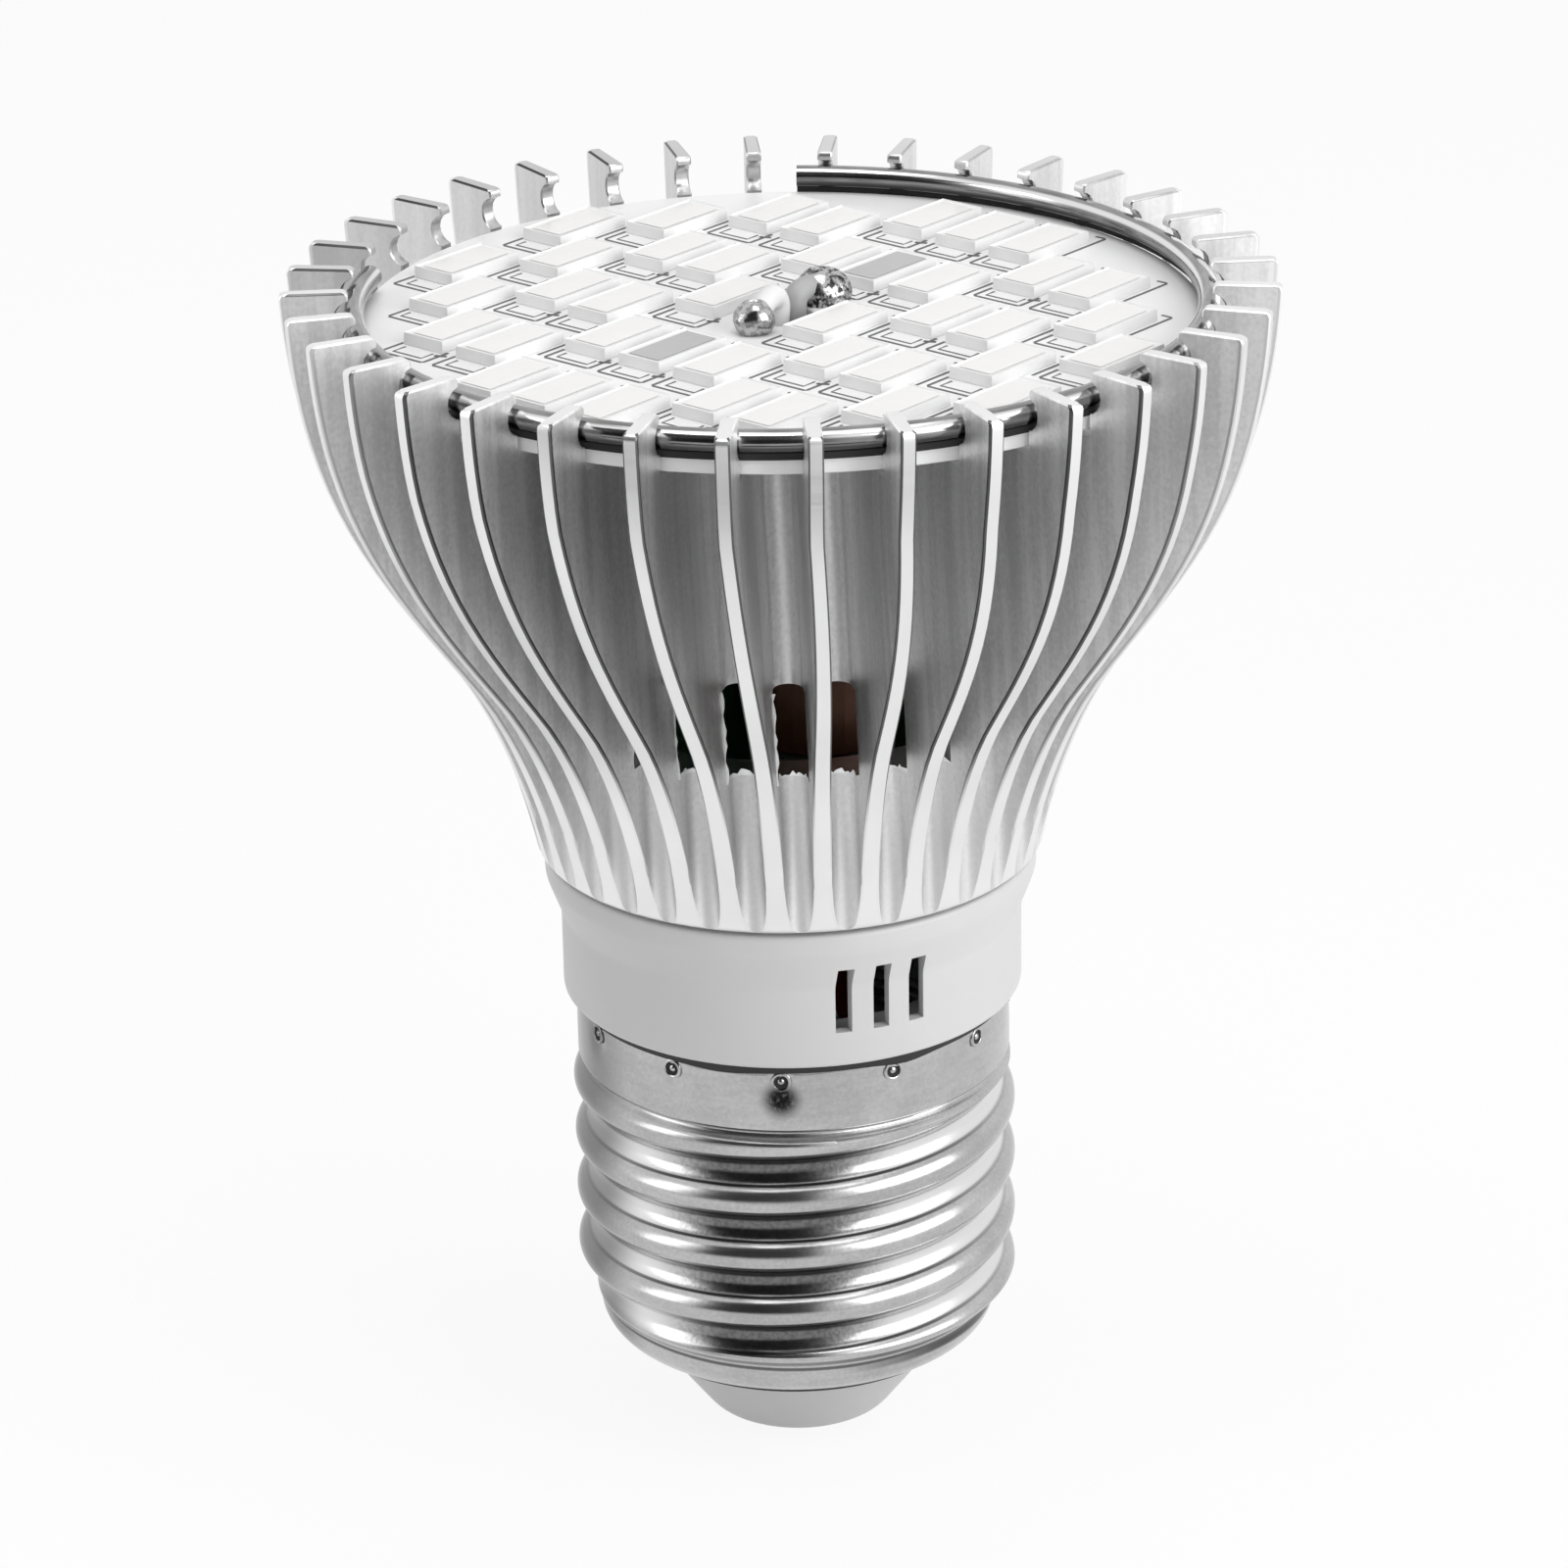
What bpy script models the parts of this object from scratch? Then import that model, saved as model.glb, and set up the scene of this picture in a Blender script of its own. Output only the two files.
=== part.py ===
"""LED grow bulb with a screw cap, a bell-shaped finned heatsink and an open board of LEDs on top.

The bulb stands on its cap along +Z. The origin is the centre of the cap's lower contact.
The heatsink is one extruded bar, a tube with 36 straight fins, turned on a lathe to a bell.
"""
import math

import bmesh
import bpy
from mathutils import Matrix, Vector

MM = 0.001

# Clearance between pieces that touch
GAP = 0.3 * MM

# Fineness of the round pieces, and the angle from which an edge is sharp
ROUND_SEGMENTS = 24
SMALL_SEGMENTS = 14
SHARP_ANGLE = math.radians(35.0)

# Centre contact
CONTACT_RADIUS = 3.6 * MM
CONTACT_HEAD = 0.5 * MM
CONTACT_EDGE = 0.2 * MM
STEM_RADIUS = 0.9 * MM
STEM_LENGTH = 3.0 * MM

# Insulating cone under the shell
CONE_TIP_RADIUS = 5.3 * MM
CONE_DROP = 5.5 * MM
CONE_WALL = 1.6 * MM
CONE_RIM_HEIGHT = 1.8 * MM
HUB_WALL = 1.4 * MM

# Screw shell, rolled from sheet
SHELL_SHEET = 0.35 * MM
CREST_RADIUS = 13.15 * MM
THREAD_DEPTH = 1.0 * MM
THREAD_PITCH = 3.629 * MM
THREAD_LENGTH = 14.9 * MM
THREAD_START = math.radians(214.4)
THREAD_RUN_IN = 1.6 * MM
THREAD_RUN_OUT = 2.2 * MM
SKIRT_INSET = 0.32 * MM
SKIRT_HEIGHT = 5.1 * MM
SHOULDER_INSET = 0.25 * MM
SHOULDER_WIDTH = 1.8 * MM
SHOULDER_RISE = 2.2 * MM
SHELL_SEGMENTS = 32
ROWS_PER_TURN = 5

# Crimp marks that hold the shell on the neck
CRIMP_COUNT = 12
CRIMP_PHASE = math.radians(-93.5)
CRIMP_INNER_RADIUS = 0.3 * MM
CRIMP_OUTER_RADIUS = 1.5 * MM
CRIMP_DEPTH = 0.18 * MM
CRIMP_BELOW_EDGE = 0.8 * MM

# Neck housing
NECK_STEP = 0.72 * MM
NECK_STRAIGHT = 5.0 * MM
NECK_BEVEL = 2.35 * MM
FLANGE_STEP = 0.88 * MM
FLANGE_HEIGHT = 1.29 * MM
EDGE_BREAK = 0.25 * MM
SPIGOT_WALL = 1.35 * MM
LOWER_SPIGOT = 4.2 * MM
UPPER_SPIGOT = 4.3 * MM
NECK_SEGMENTS = 42

# Cooling slots in the neck, in two groups
SLOTS_PER_GROUP = 3
SLOT_PITCH = math.radians(9.45)
SLOT_CENTRE = math.radians(-67.9)
SLOT_WIDTH = 1.1 * MM
SLOT_HEIGHT = 3.7 * MM
SLOT_SILL = 2.5 * MM
SLOT_FLARE = 0.6 * MM

# Heatsink
FIN_COUNT = 36
FIN_PHASE = math.radians(3.46)
FIN_THICKNESS = 1.15 * MM
TUBE_WALL = 2.47 * MM
FLOOR_STEPS = 4
HEATSINK_HEIGHT = 34.26 * MM
RIM_WIDTH = 3.9 * MM
WAIST_FIN_DEPTH = 4.85 * MM
WAIST_DROP = 22.3 * MM
WAIST_SLOPE = (0.63, 0.777)
FOOT_STEP = 0.37 * MM
CURVE_STEPS = 5
WINDOW_TOP_DROP = 19.5 * MM
WINDOW_HEIGHT = 5.0 * MM
WINDOW_DEPTH = 0.45 * MM

# LED board and the wire ring that holds it
BOARD_RADIUS = 24.1 * MM
BOARD_THICKNESS = 1.0 * MM
BOARD_DROP = 2.4 * MM
BOARD_SEGMENTS = 54
RING_WIRE_RADIUS = 0.65 * MM
RING_OUTSET = 0.1 * MM
RING_FROM = math.radians(87.4)
RING_SWEEP = math.radians(-281.0)
RING_STEPS = 45
RING_SIDES = 8
LIP_ROUND = 0.4 * MM

# LEDs, in columns across the board
LED_ANGLE = math.radians(49.34)
LED_HEIGHT = 0.7 * MM
LED_RIM = 0.45 * MM
LED_RECESS = 0.12 * MM
LED_SIDE_GAP = 1.0 * MM
LED_SIDE_MARGIN = 2.6 * MM
LED_END_GAP = 3.58 * MM
LED_END_MARGIN = 2.69 * MM
COLUMN_REACH = (4, 4, 3, 3, 2, 1)

# Leads to the LED board, with their solder joints
SLEEVE_RADIUS = 0.7 * MM
SLEEVE_SPACING = 0.4 * MM
LEAD_BEND = 1.0 * MM
SOLDER_RADIUS = 1.35 * MM
SOLDER_HEIGHT = 1.7 * MM

# Driver in the bore
DRIVER_SEAT = 0.57 * MM
DRIVER_HEIGHT = 31.7 * MM
DRIVER_THICKNESS = 1.2 * MM
DRIVER_LEDGE = 1.3 * MM
CAPACITOR_CLEARANCE = 0.86 * MM
CAPACITOR_HEIGHT = 13.0 * MM
CAPACITOR_SIDE = 3.0 * MM
CAPACITOR_RISE = 13.5 * MM
CHOKE_CLEARANCE = 2.36 * MM
CHOKE_HEIGHT = 8.0 * MM
CHOKE_FLANGE = 1.3 * MM
WINDING_DEPTH = 1.8 * MM
CHOKE_SIDE = -3.0 * MM
CHOKE_RISE = 14.5 * MM
RECTIFIER_SIZE = (6.5 * MM, 2.4 * MM, 5.0 * MM)
RECTIFIER_SIDE = 4.0 * MM
RECTIFIER_RISE = 6.0 * MM
RESISTOR_RADIUS = 1.4 * MM
RESISTOR_LENGTH = 5.5 * MM
RESISTOR_SIDE = -3.0 * MM
WIRE_RADIUS = 0.5 * MM
SHELL_LEAD_SIDE = 6.0 * MM
SHELL_LEAD_RISE = 3.0 * MM
SHELL_LEAD_DROP = 6.0 * MM

# Levels, from the contact up
CONE_BOTTOM = CONTACT_HEAD + GAP
STEM_TOP = CONTACT_HEAD + STEM_LENGTH
MOUTH_Z = CONE_BOTTOM + CONE_DROP
SHOULDER_Z = MOUTH_Z + SHOULDER_RISE
THREAD_TOP = SHOULDER_Z + THREAD_LENGTH
SHELL_TOP = THREAD_TOP + SKIRT_HEIGHT
NECK_BOTTOM = SHELL_TOP + GAP
BEVEL_Z = NECK_BOTTOM + NECK_STRAIGHT
FLANGE_Z = BEVEL_Z + NECK_BEVEL
NECK_TOP = FLANGE_Z + FLANGE_HEIGHT
FOOT_Z = NECK_TOP + GAP
TOP_Z = FOOT_Z + HEATSINK_HEIGHT
BOARD_TOP = TOP_Z - BOARD_DROP
BOARD_BOTTOM = BOARD_TOP - BOARD_THICKNESS
SEAT_Z = BOARD_BOTTOM - GAP
RING_Z = BOARD_TOP + GAP + RING_WIRE_RADIUS
DRIVER_BOTTOM = NECK_BOTTOM + DRIVER_LEDGE + GAP
DRIVER_TOP = DRIVER_BOTTOM + DRIVER_HEIGHT

# Radii that follow from the pieces they meet
HUB_BORE = STEM_RADIUS + GAP
VALLEY_RADIUS = CREST_RADIUS - THREAD_DEPTH
SHOULDER_RADIUS = VALLEY_RADIUS - SHOULDER_INSET
MOUTH_RADIUS = SHOULDER_RADIUS - SHOULDER_WIDTH
SKIRT_RADIUS = CREST_RADIUS - SKIRT_INSET
NECK_RADIUS = SKIRT_RADIUS + NECK_STEP
NECK_BORE_RADIUS = SKIRT_RADIUS - SHELL_SHEET - GAP - SPIGOT_WALL
FLANGE_RADIUS = NECK_RADIUS + FLANGE_STEP
FOOT_RADIUS = FLANGE_RADIUS + FOOT_STEP
BORE_RADIUS = NECK_BORE_RADIUS + SPIGOT_WALL + GAP
CHANNEL_FLOOR_RADIUS = BORE_RADIUS + TUBE_WALL
WINDOW_RADIUS = CHANNEL_FLOOR_RADIUS + WINDOW_DEPTH
WAIST_RADIUS = CHANNEL_FLOOR_RADIUS + WAIST_FIN_DEPTH
RECESS_RADIUS = BOARD_RADIUS + GAP
RIM_RADIUS = RECESS_RADIUS + RIM_WIDTH
RING_RADIUS = BOARD_RADIUS + RING_OUTSET
GROOVE_RADIUS = RING_WIRE_RADIUS + GAP
DRIVER_HALF_WIDTH = NECK_BORE_RADIUS + DRIVER_SEAT
DRIVER_FACE = DRIVER_THICKNESS / 2 + GAP

# Places on the LED board that follow from its pieces
SIDE_STEPS = len(COLUMN_REACH) - 1
END_STEPS = max(COLUMN_REACH) / 2
LED_WIDTH = (BOARD_RADIUS - LED_SIDE_MARGIN - SIDE_STEPS * LED_SIDE_GAP) / (SIDE_STEPS + 0.5)
LED_LENGTH = (BOARD_RADIUS - LED_END_MARGIN - END_STEPS * LED_END_GAP) / (END_STEPS + 0.5)
COLUMN_PITCH = LED_WIDTH + LED_SIDE_GAP
ROW_PITCH = (LED_LENGTH + LED_END_GAP) / 2
LEAD_OFFSET = SLEEVE_RADIUS + SLEEVE_SPACING / 2
LEAD_HOLE_RADIUS = LEAD_OFFSET + SLEEVE_RADIUS + SLEEVE_SPACING
SOLDER_OFFSET = LEAD_OFFSET + LEAD_BEND + GAP + SOLDER_RADIUS


def material(name, colour, roughness, metallic=0.0):
    """Return a plain Principled material."""
    result = bpy.data.materials.new(name)
    result.use_nodes = True
    shader = result.node_tree.nodes["Principled BSDF"]
    shader.inputs["Base Color"].default_value = (*colour, 1.0)
    shader.inputs["Roughness"].default_value = roughness
    shader.inputs["Metallic"].default_value = metallic
    return result


def new_object(name, bm, surface=None, smooth=True):
    """Turn a bmesh into an object with outward faces."""
    bmesh.ops.recalc_face_normals(bm, faces=bm.faces)
    mesh = bpy.data.meshes.new(name)
    bm.to_mesh(mesh)
    bm.free()
    if smooth:
        mesh.shade_smooth()
        mesh.set_sharp_from_angle(angle=SHARP_ANGLE)
    if surface:
        mesh.materials.append(surface)
    result = bpy.data.objects.new(name, mesh)
    bpy.context.collection.objects.link(result)
    return result


def revolve(profile, segments, phase=0.0):
    """Spin a profile of (radius, z) points about Z; ends on the axis close it."""
    bm = bmesh.new()
    verts = [bm.verts.new((radius, 0.0, z)) for radius, z in profile]
    closed = all(radius > 0.0 for radius, z in profile)
    pairs = list(zip(verts, verts[1:]))
    if closed:
        pairs.append((verts[-1], verts[0]))
    edges = [bm.edges.new(pair) for pair in pairs]
    bmesh.ops.spin(bm, geom=verts + edges, cent=(0.0, 0.0, 0.0), axis=(0.0, 0.0, 1.0),
                   angle=2.0 * math.pi, steps=segments, use_merge=True)
    bmesh.ops.remove_doubles(bm, verts=bm.verts, dist=1e-7)
    bmesh.ops.rotate(bm, verts=bm.verts, cent=(0.0, 0.0, 0.0), matrix=Matrix.Rotation(phase, 3, "Z"))
    return bm


def prism(outline, low, high):
    """Extrude a flat outline of (x, y) points from one level to another."""
    bm = bmesh.new()
    face = bm.faces.new([bm.verts.new((x, y, low)) for x, y in outline])
    grown = bmesh.ops.extrude_face_region(bm, geom=[face])
    verts = [item for item in grown["geom"] if isinstance(item, bmesh.types.BMVert)]
    bmesh.ops.translate(bm, verts=verts, vec=(0.0, 0.0, high - low))
    return bm


def block(size, centre=(0.0, 0.0, 0.0)):
    """Return a box of a size about a centre."""
    bm = bmesh.new()
    bmesh.ops.create_cube(bm, size=1.0)
    bmesh.ops.scale(bm, verts=bm.verts, vec=size)
    bmesh.ops.translate(bm, verts=bm.verts, vec=centre)
    return bm


def merge(bm, other):
    """Add the mesh of one bmesh to another."""
    mesh = bpy.data.meshes.new("merged")
    other.to_mesh(mesh)
    other.free()
    bm.from_mesh(mesh)
    bpy.data.meshes.remove(mesh)


def shape_with(target, tool_bm, operation):
    """Cut or intersect an object with a tool, and keep only the result."""
    tool = new_object(target.name + "_tool", tool_bm, smooth=False)
    modifier = target.modifiers.new("shape", "BOOLEAN")
    modifier.operation = operation
    modifier.solver = "EXACT"
    modifier.object = tool
    bpy.context.view_layer.update()
    graph = bpy.context.evaluated_depsgraph_get()
    mesh = bpy.data.meshes.new_from_object(target.evaluated_get(graph))
    target.modifiers.clear()
    old_mesh = target.data
    target.data = mesh
    bpy.data.meshes.remove(old_mesh)
    bpy.data.objects.remove(tool)
    mesh.shade_smooth()
    mesh.set_sharp_from_angle(angle=SHARP_ANGLE)


def bezier(start, start_handle, end_handle, end, steps):
    """Return points along a cubic curve, both ends included."""
    points = []
    for step in range(steps + 1):
        t = step / steps
        weights = ((1 - t) ** 3, 3 * t * (1 - t) ** 2, 3 * t * t * (1 - t), t ** 3)
        controls = (start, start_handle, end_handle, end)
        points.append(tuple(sum(w * c[axis] for w, c in zip(weights, controls)) for axis in (0, 1)))
    return points


def arc(centre, radius, start, stop, steps):
    """Return points along an arc, both ends included."""
    angles = [start + (stop - start) * step / steps for step in range(steps + 1)]
    return [(centre[0] + radius * math.cos(a), centre[1] + radius * math.sin(a)) for a in angles]


def smoothstep(low, high, value):
    """Rise smoothly from 0 at low to 1 at high."""
    t = min(max((value - low) / (high - low), 0.0), 1.0)
    return t * t * (3.0 - 2.0 * t)


def star_outline():
    """Section of the extruded bar: thin fins with round-bottomed channels between them."""
    half_pitch = math.pi / FIN_COUNT
    floor_centre = (CHANNEL_FLOOR_RADIUS - FIN_THICKNESS / 2) / (1.0 - math.sin(half_pitch))
    floor_round = floor_centre - CHANNEL_FLOOR_RADIUS
    reach = RIM_RADIUS + 2.0 * MM
    fin_end = [(reach, -FIN_THICKNESS / 2), (reach, FIN_THICKNESS / 2)]
    wall_turn = math.pi / 2 + half_pitch
    floor = arc((floor_centre, 0.0), floor_round, 2 * math.pi - wall_turn, wall_turn, FLOOR_STEPS)
    outline = []
    for index in range(FIN_COUNT):
        fin_turn = Matrix.Rotation(FIN_PHASE + index * 2 * half_pitch, 2)
        floor_turn = Matrix.Rotation(FIN_PHASE + (index * 2 + 1) * half_pitch, 2)
        outline += [tuple(fin_turn @ Vector(point)) for point in fin_end]
        outline += [tuple(floor_turn @ Vector(point)) for point in floor]
    return outline


def bell_profile():
    """Turned section of the heatsink: bell outside, board recess, ring groove, bore and window groove."""
    rim = (RIM_RADIUS, TOP_Z)
    waist = (WAIST_RADIUS, TOP_Z - WAIST_DROP)
    foot = (FOOT_RADIUS, FOOT_Z)
    waist_height = waist[1] - FOOT_Z
    rim_handle = (RIM_RADIUS - GAP, TOP_Z - 0.4 * WAIST_DROP)
    upper_handle = Vector(waist) + Vector(WAIST_SLOPE) * 0.37 * WAIST_DROP
    lower_handle = Vector(waist) - Vector(WAIST_SLOPE) * 0.37 * waist_height
    foot_handle = (FOOT_RADIUS + 0.06 * waist_height, FOOT_Z + 0.32 * waist_height)
    bell = bezier(rim, rim_handle, upper_handle, waist, CURVE_STEPS)
    bell += bezier(waist, lower_handle, foot_handle, foot, CURVE_STEPS)[1:]
    bell[0] = (RIM_RADIUS - EDGE_BREAK, TOP_Z)
    bell.insert(1, (RIM_RADIUS, TOP_Z - EDGE_BREAK))
    half_mouth = math.acos((RECESS_RADIUS - RING_RADIUS) / GROOVE_RADIUS)
    groove = arc((RING_RADIUS, RING_Z), GROOVE_RADIUS, -half_mouth, half_mouth, 4)
    lip = [(RECESS_RADIUS, TOP_Z - LIP_ROUND / 2), (RECESS_RADIUS + LIP_ROUND, TOP_Z)]
    window_top = TOP_Z - WINDOW_TOP_DROP
    bore = [(BORE_RADIUS, FOOT_Z), (BORE_RADIUS, window_top - WINDOW_HEIGHT)]
    window = [(WINDOW_RADIUS, window_top - WINDOW_HEIGHT), (WINDOW_RADIUS, window_top)]
    seat = [(BORE_RADIUS, window_top), (BORE_RADIUS, SEAT_Z), (RECESS_RADIUS, SEAT_Z)]
    return bell + bore + window + seat + groove + lip


def make_heatsink():
    """The turned bell, cut to fins and channels by the section of the bar."""
    surface = material("turned_aluminium", (0.72, 0.73, 0.74), 0.32, 1.0)
    segments = 2 * FIN_COUNT
    bell = revolve(bell_profile(), segments, FIN_PHASE + math.pi / segments)
    heatsink = new_object("heatsink", bell, surface)
    shape_with(heatsink, prism(star_outline(), FOOT_Z - MM, TOP_Z + MM), "INTERSECT")


def shell_radius(angle, z):
    """Outside radius of the rolled shell: right-hand thread that runs out into skirt and shoulder."""
    crest_z = SHOULDER_Z + THREAD_PITCH * (angle - THREAD_START) / (2 * math.pi)
    wave = math.cos(2 * math.pi * (z - crest_z) / THREAD_PITCH)
    thread = CREST_RADIUS - THREAD_DEPTH * (1.0 - wave) / 2
    skirt = smoothstep(THREAD_TOP - THREAD_RUN_OUT, THREAD_TOP, z)
    shoulder = 1.0 - smoothstep(SHOULDER_Z, SHOULDER_Z + THREAD_RUN_IN, z)
    return thread * (1.0 - skirt - shoulder) + SKIRT_RADIUS * skirt + SHOULDER_RADIUS * shoulder


def make_screw_shell():
    """Sheet shell as a grid of rings, given its thickness inward, with crimp marks in the skirt."""
    rows = round(THREAD_LENGTH / THREAD_PITCH * ROWS_PER_TURN)
    levels = [SHOULDER_Z + THREAD_LENGTH * row / rows for row in range(rows + 1)]
    bm = bmesh.new()
    rings = []
    for z in [MOUTH_Z, *levels, SHELL_TOP]:
        ring = []
        for step in range(SHELL_SEGMENTS):
            angle = 2 * math.pi * step / SHELL_SEGMENTS
            radius = MOUTH_RADIUS if z == MOUTH_Z else shell_radius(angle, z)
            ring.append(bm.verts.new((radius * math.cos(angle), radius * math.sin(angle), z)))
        rings.append(ring)
    for low, high in zip(rings, rings[1:]):
        for step in range(SHELL_SEGMENTS):
            after = (step + 1) % SHELL_SEGMENTS
            bm.faces.new((low[step], low[after], high[after], high[step]))
    nickel = material("nickel_plate", (0.62, 0.61, 0.6), 0.25, 1.0)
    shell = new_object("screw_shell", bm, nickel)
    sheet = shell.modifiers.new("sheet", "SOLIDIFY")
    sheet.thickness = SHELL_SHEET
    sheet.offset = -1.0
    sheet.use_even_offset = True
    marks = bmesh.new()
    for index in range(CRIMP_COUNT):
        mark = bmesh.new()
        bmesh.ops.create_cone(mark, cap_ends=True, segments=8, radius1=CRIMP_INNER_RADIUS,
                              radius2=CRIMP_OUTER_RADIUS, depth=4 * CRIMP_DEPTH)
        turn = Matrix.Rotation(CRIMP_PHASE + index * 2 * math.pi / CRIMP_COUNT, 4, "Z")
        out = Matrix.Translation((SKIRT_RADIUS + CRIMP_DEPTH, 0.0, SHELL_TOP - CRIMP_BELOW_EDGE))
        tilt = Matrix.Rotation(math.pi / 2, 4, "Y")
        bmesh.ops.transform(mark, matrix=turn @ out @ tilt, verts=mark.verts)
        merge(marks, mark)
    shape_with(shell, marks, "DIFFERENCE")


def make_contact_and_cone():
    """Riveted centre contact and the moulded cone that it is riveted to."""
    head = [(0.0, 0.0), (CONTACT_RADIUS - CONTACT_EDGE, 0.0), (CONTACT_RADIUS, CONTACT_EDGE),
            (CONTACT_RADIUS, CONTACT_HEAD), (STEM_RADIUS, CONTACT_HEAD), (STEM_RADIUS, STEM_TOP),
            (0.0, STEM_TOP)]
    brass = material("tinned_brass", (0.66, 0.64, 0.58), 0.3, 1.0)
    new_object("centre_contact", revolve(head, ROUND_SEGMENTS), brass)
    inset = SHELL_SHEET + GAP
    slope = math.atan2(SHOULDER_RADIUS - MOUTH_RADIUS, SHOULDER_RISE)
    inner_mouth = MOUTH_RADIUS - inset * math.cos(slope)
    inner_shoulder = SHOULDER_RADIUS - inset * math.cos(slope)
    seat_rise = inset * math.sin(slope)
    mouth = MOUTH_RADIUS - SHELL_SHEET - GAP
    rim_top = SHOULDER_Z + CONE_RIM_HEIGHT
    rim_radius = VALLEY_RADIUS - SHELL_SHEET - 2 * GAP
    reach = (rim_radius - inner_mouth) / (inner_shoulder - inner_mouth)
    rim_z = MOUTH_Z + seat_rise + SHOULDER_RISE * min(reach, 1.0)
    hub_radius = HUB_BORE + HUB_WALL
    dish_z = CONE_BOTTOM + 2 * CONE_WALL
    cone = [(HUB_BORE, CONE_BOTTOM), (CONE_TIP_RADIUS, CONE_BOTTOM), (mouth, MOUTH_Z),
            (inner_mouth - EDGE_BREAK, MOUTH_Z + seat_rise), (min(inner_shoulder, rim_radius), rim_z),
            (min(inner_shoulder, rim_radius), rim_top), (rim_radius - CONE_WALL, rim_top),
            (mouth - CONE_WALL, MOUTH_Z + CONE_WALL / 2), (hub_radius + CONE_WALL, dish_z),
            (hub_radius, dish_z), (hub_radius, STEM_TOP + CONE_WALL), (HUB_BORE, STEM_TOP + CONE_WALL)]
    insulator = material("insulator", (0.5, 0.5, 0.5), 0.45)
    new_object("insulating_cone", revolve(cone, SHELL_SEGMENTS), insulator)


def slot_cutter(angle):
    """One slot with a slanted wall, as a prism that reaches through the neck's wall."""
    inner = NECK_BORE_RADIUS - MM
    outer = FLANGE_RADIUS + MM
    half = SLOT_WIDTH / 2
    outline = [(inner, -half), (outer, -half), (outer, half + SLOT_FLARE), (NECK_RADIUS - MM, half),
               (inner, half)]
    low = NECK_BOTTOM + SLOT_SILL
    cutter = prism(outline, low, low + SLOT_HEIGHT)
    bmesh.ops.rotate(cutter, verts=cutter.verts, cent=(0.0, 0.0, 0.0), matrix=Matrix.Rotation(angle, 3, "Z"))
    return cutter


def make_neck_housing():
    """Moulded neck with spigots into heatsink and shell, cooling slots and grooves for the driver."""
    upper = BORE_RADIUS - GAP
    lower = SKIRT_RADIUS - SHELL_SHEET - GAP
    spigot_foot = NECK_BOTTOM - LOWER_SPIGOT
    profile = [(NECK_BORE_RADIUS, spigot_foot), (lower - EDGE_BREAK, spigot_foot),
               (lower, spigot_foot + EDGE_BREAK), (lower, NECK_BOTTOM),
               (NECK_RADIUS - EDGE_BREAK, NECK_BOTTOM), (NECK_RADIUS, NECK_BOTTOM + EDGE_BREAK),
               (NECK_RADIUS, BEVEL_Z), (FLANGE_RADIUS, FLANGE_Z), (FLANGE_RADIUS, NECK_TOP - EDGE_BREAK),
               (FLANGE_RADIUS - EDGE_BREAK, NECK_TOP), (upper, NECK_TOP), (upper, NECK_TOP + UPPER_SPIGOT),
               (NECK_BORE_RADIUS, NECK_TOP + UPPER_SPIGOT)]
    plastic = material("white_plastic", (0.82, 0.82, 0.81), 0.42)
    neck = new_object("neck_housing", revolve(profile, NECK_SEGMENTS), plastic)
    cutters = bmesh.new()
    for group in (0.0, math.pi):
        for index in range(SLOTS_PER_GROUP):
            offset = (index - (SLOTS_PER_GROUP - 1) / 2) * SLOT_PITCH
            merge(cutters, slot_cutter(SLOT_CENTRE + group + offset))
    shape_with(neck, cutters, "DIFFERENCE")
    groove_low = NECK_BOTTOM + DRIVER_LEDGE
    groove_high = NECK_TOP + UPPER_SPIGOT + MM
    size = (2 * (DRIVER_HALF_WIDTH + GAP), DRIVER_THICKNESS + 2 * GAP, groove_high - groove_low)
    groove = block(size, (0.0, 0.0, (groove_low + groove_high) / 2))
    bmesh.ops.rotate(groove, verts=groove.verts, cent=(0.0, 0.0, 0.0),
                     matrix=Matrix.Rotation(LED_ANGLE, 3, "Z"))
    shape_with(neck, groove, "DIFFERENCE")


def make_led_board():
    """Round board with the leads' hole, and the open wire ring that snaps in over its edge."""
    board = revolve([(LEAD_HOLE_RADIUS, BOARD_BOTTOM), (BOARD_RADIUS, BOARD_BOTTOM),
                     (BOARD_RADIUS, BOARD_TOP), (LEAD_HOLE_RADIUS, BOARD_TOP)], BOARD_SEGMENTS)
    new_object("led_board", board, material("white_mask", (0.86, 0.86, 0.86), 0.35))
    ring = bmesh.new()
    section = arc((RING_RADIUS, RING_Z), RING_WIRE_RADIUS, 0.0, 2 * math.pi, RING_SIDES)[:-1]
    verts = [ring.verts.new((x, 0.0, z)) for x, z in section]
    start = ring.faces.new(verts)
    bmesh.ops.rotate(ring, verts=verts, cent=(0.0, 0.0, 0.0), matrix=Matrix.Rotation(RING_FROM, 3, "Z"))
    bmesh.ops.spin(ring, geom=[start, *verts, *start.edges], cent=(0.0, 0.0, 0.0),
                   axis=(0.0, 0.0, 1.0), angle=RING_SWEEP, steps=RING_STEPS)
    new_object("retaining_ring", ring, material("dark_steel", (0.28, 0.28, 0.29), 0.28, 1.0))


def led_places():
    """Centres of the LEDs along and across the board; the middle place is left to the leads."""
    places = []
    for column in range(1 - len(COLUMN_REACH), len(COLUMN_REACH)):
        reach = COLUMN_REACH[abs(column)]
        for row in range(-reach, reach + 1, 2):
            if (column, row) != (0, 0):
                places.append((row * ROW_PITCH, -column * COLUMN_PITCH))
    return places


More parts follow.
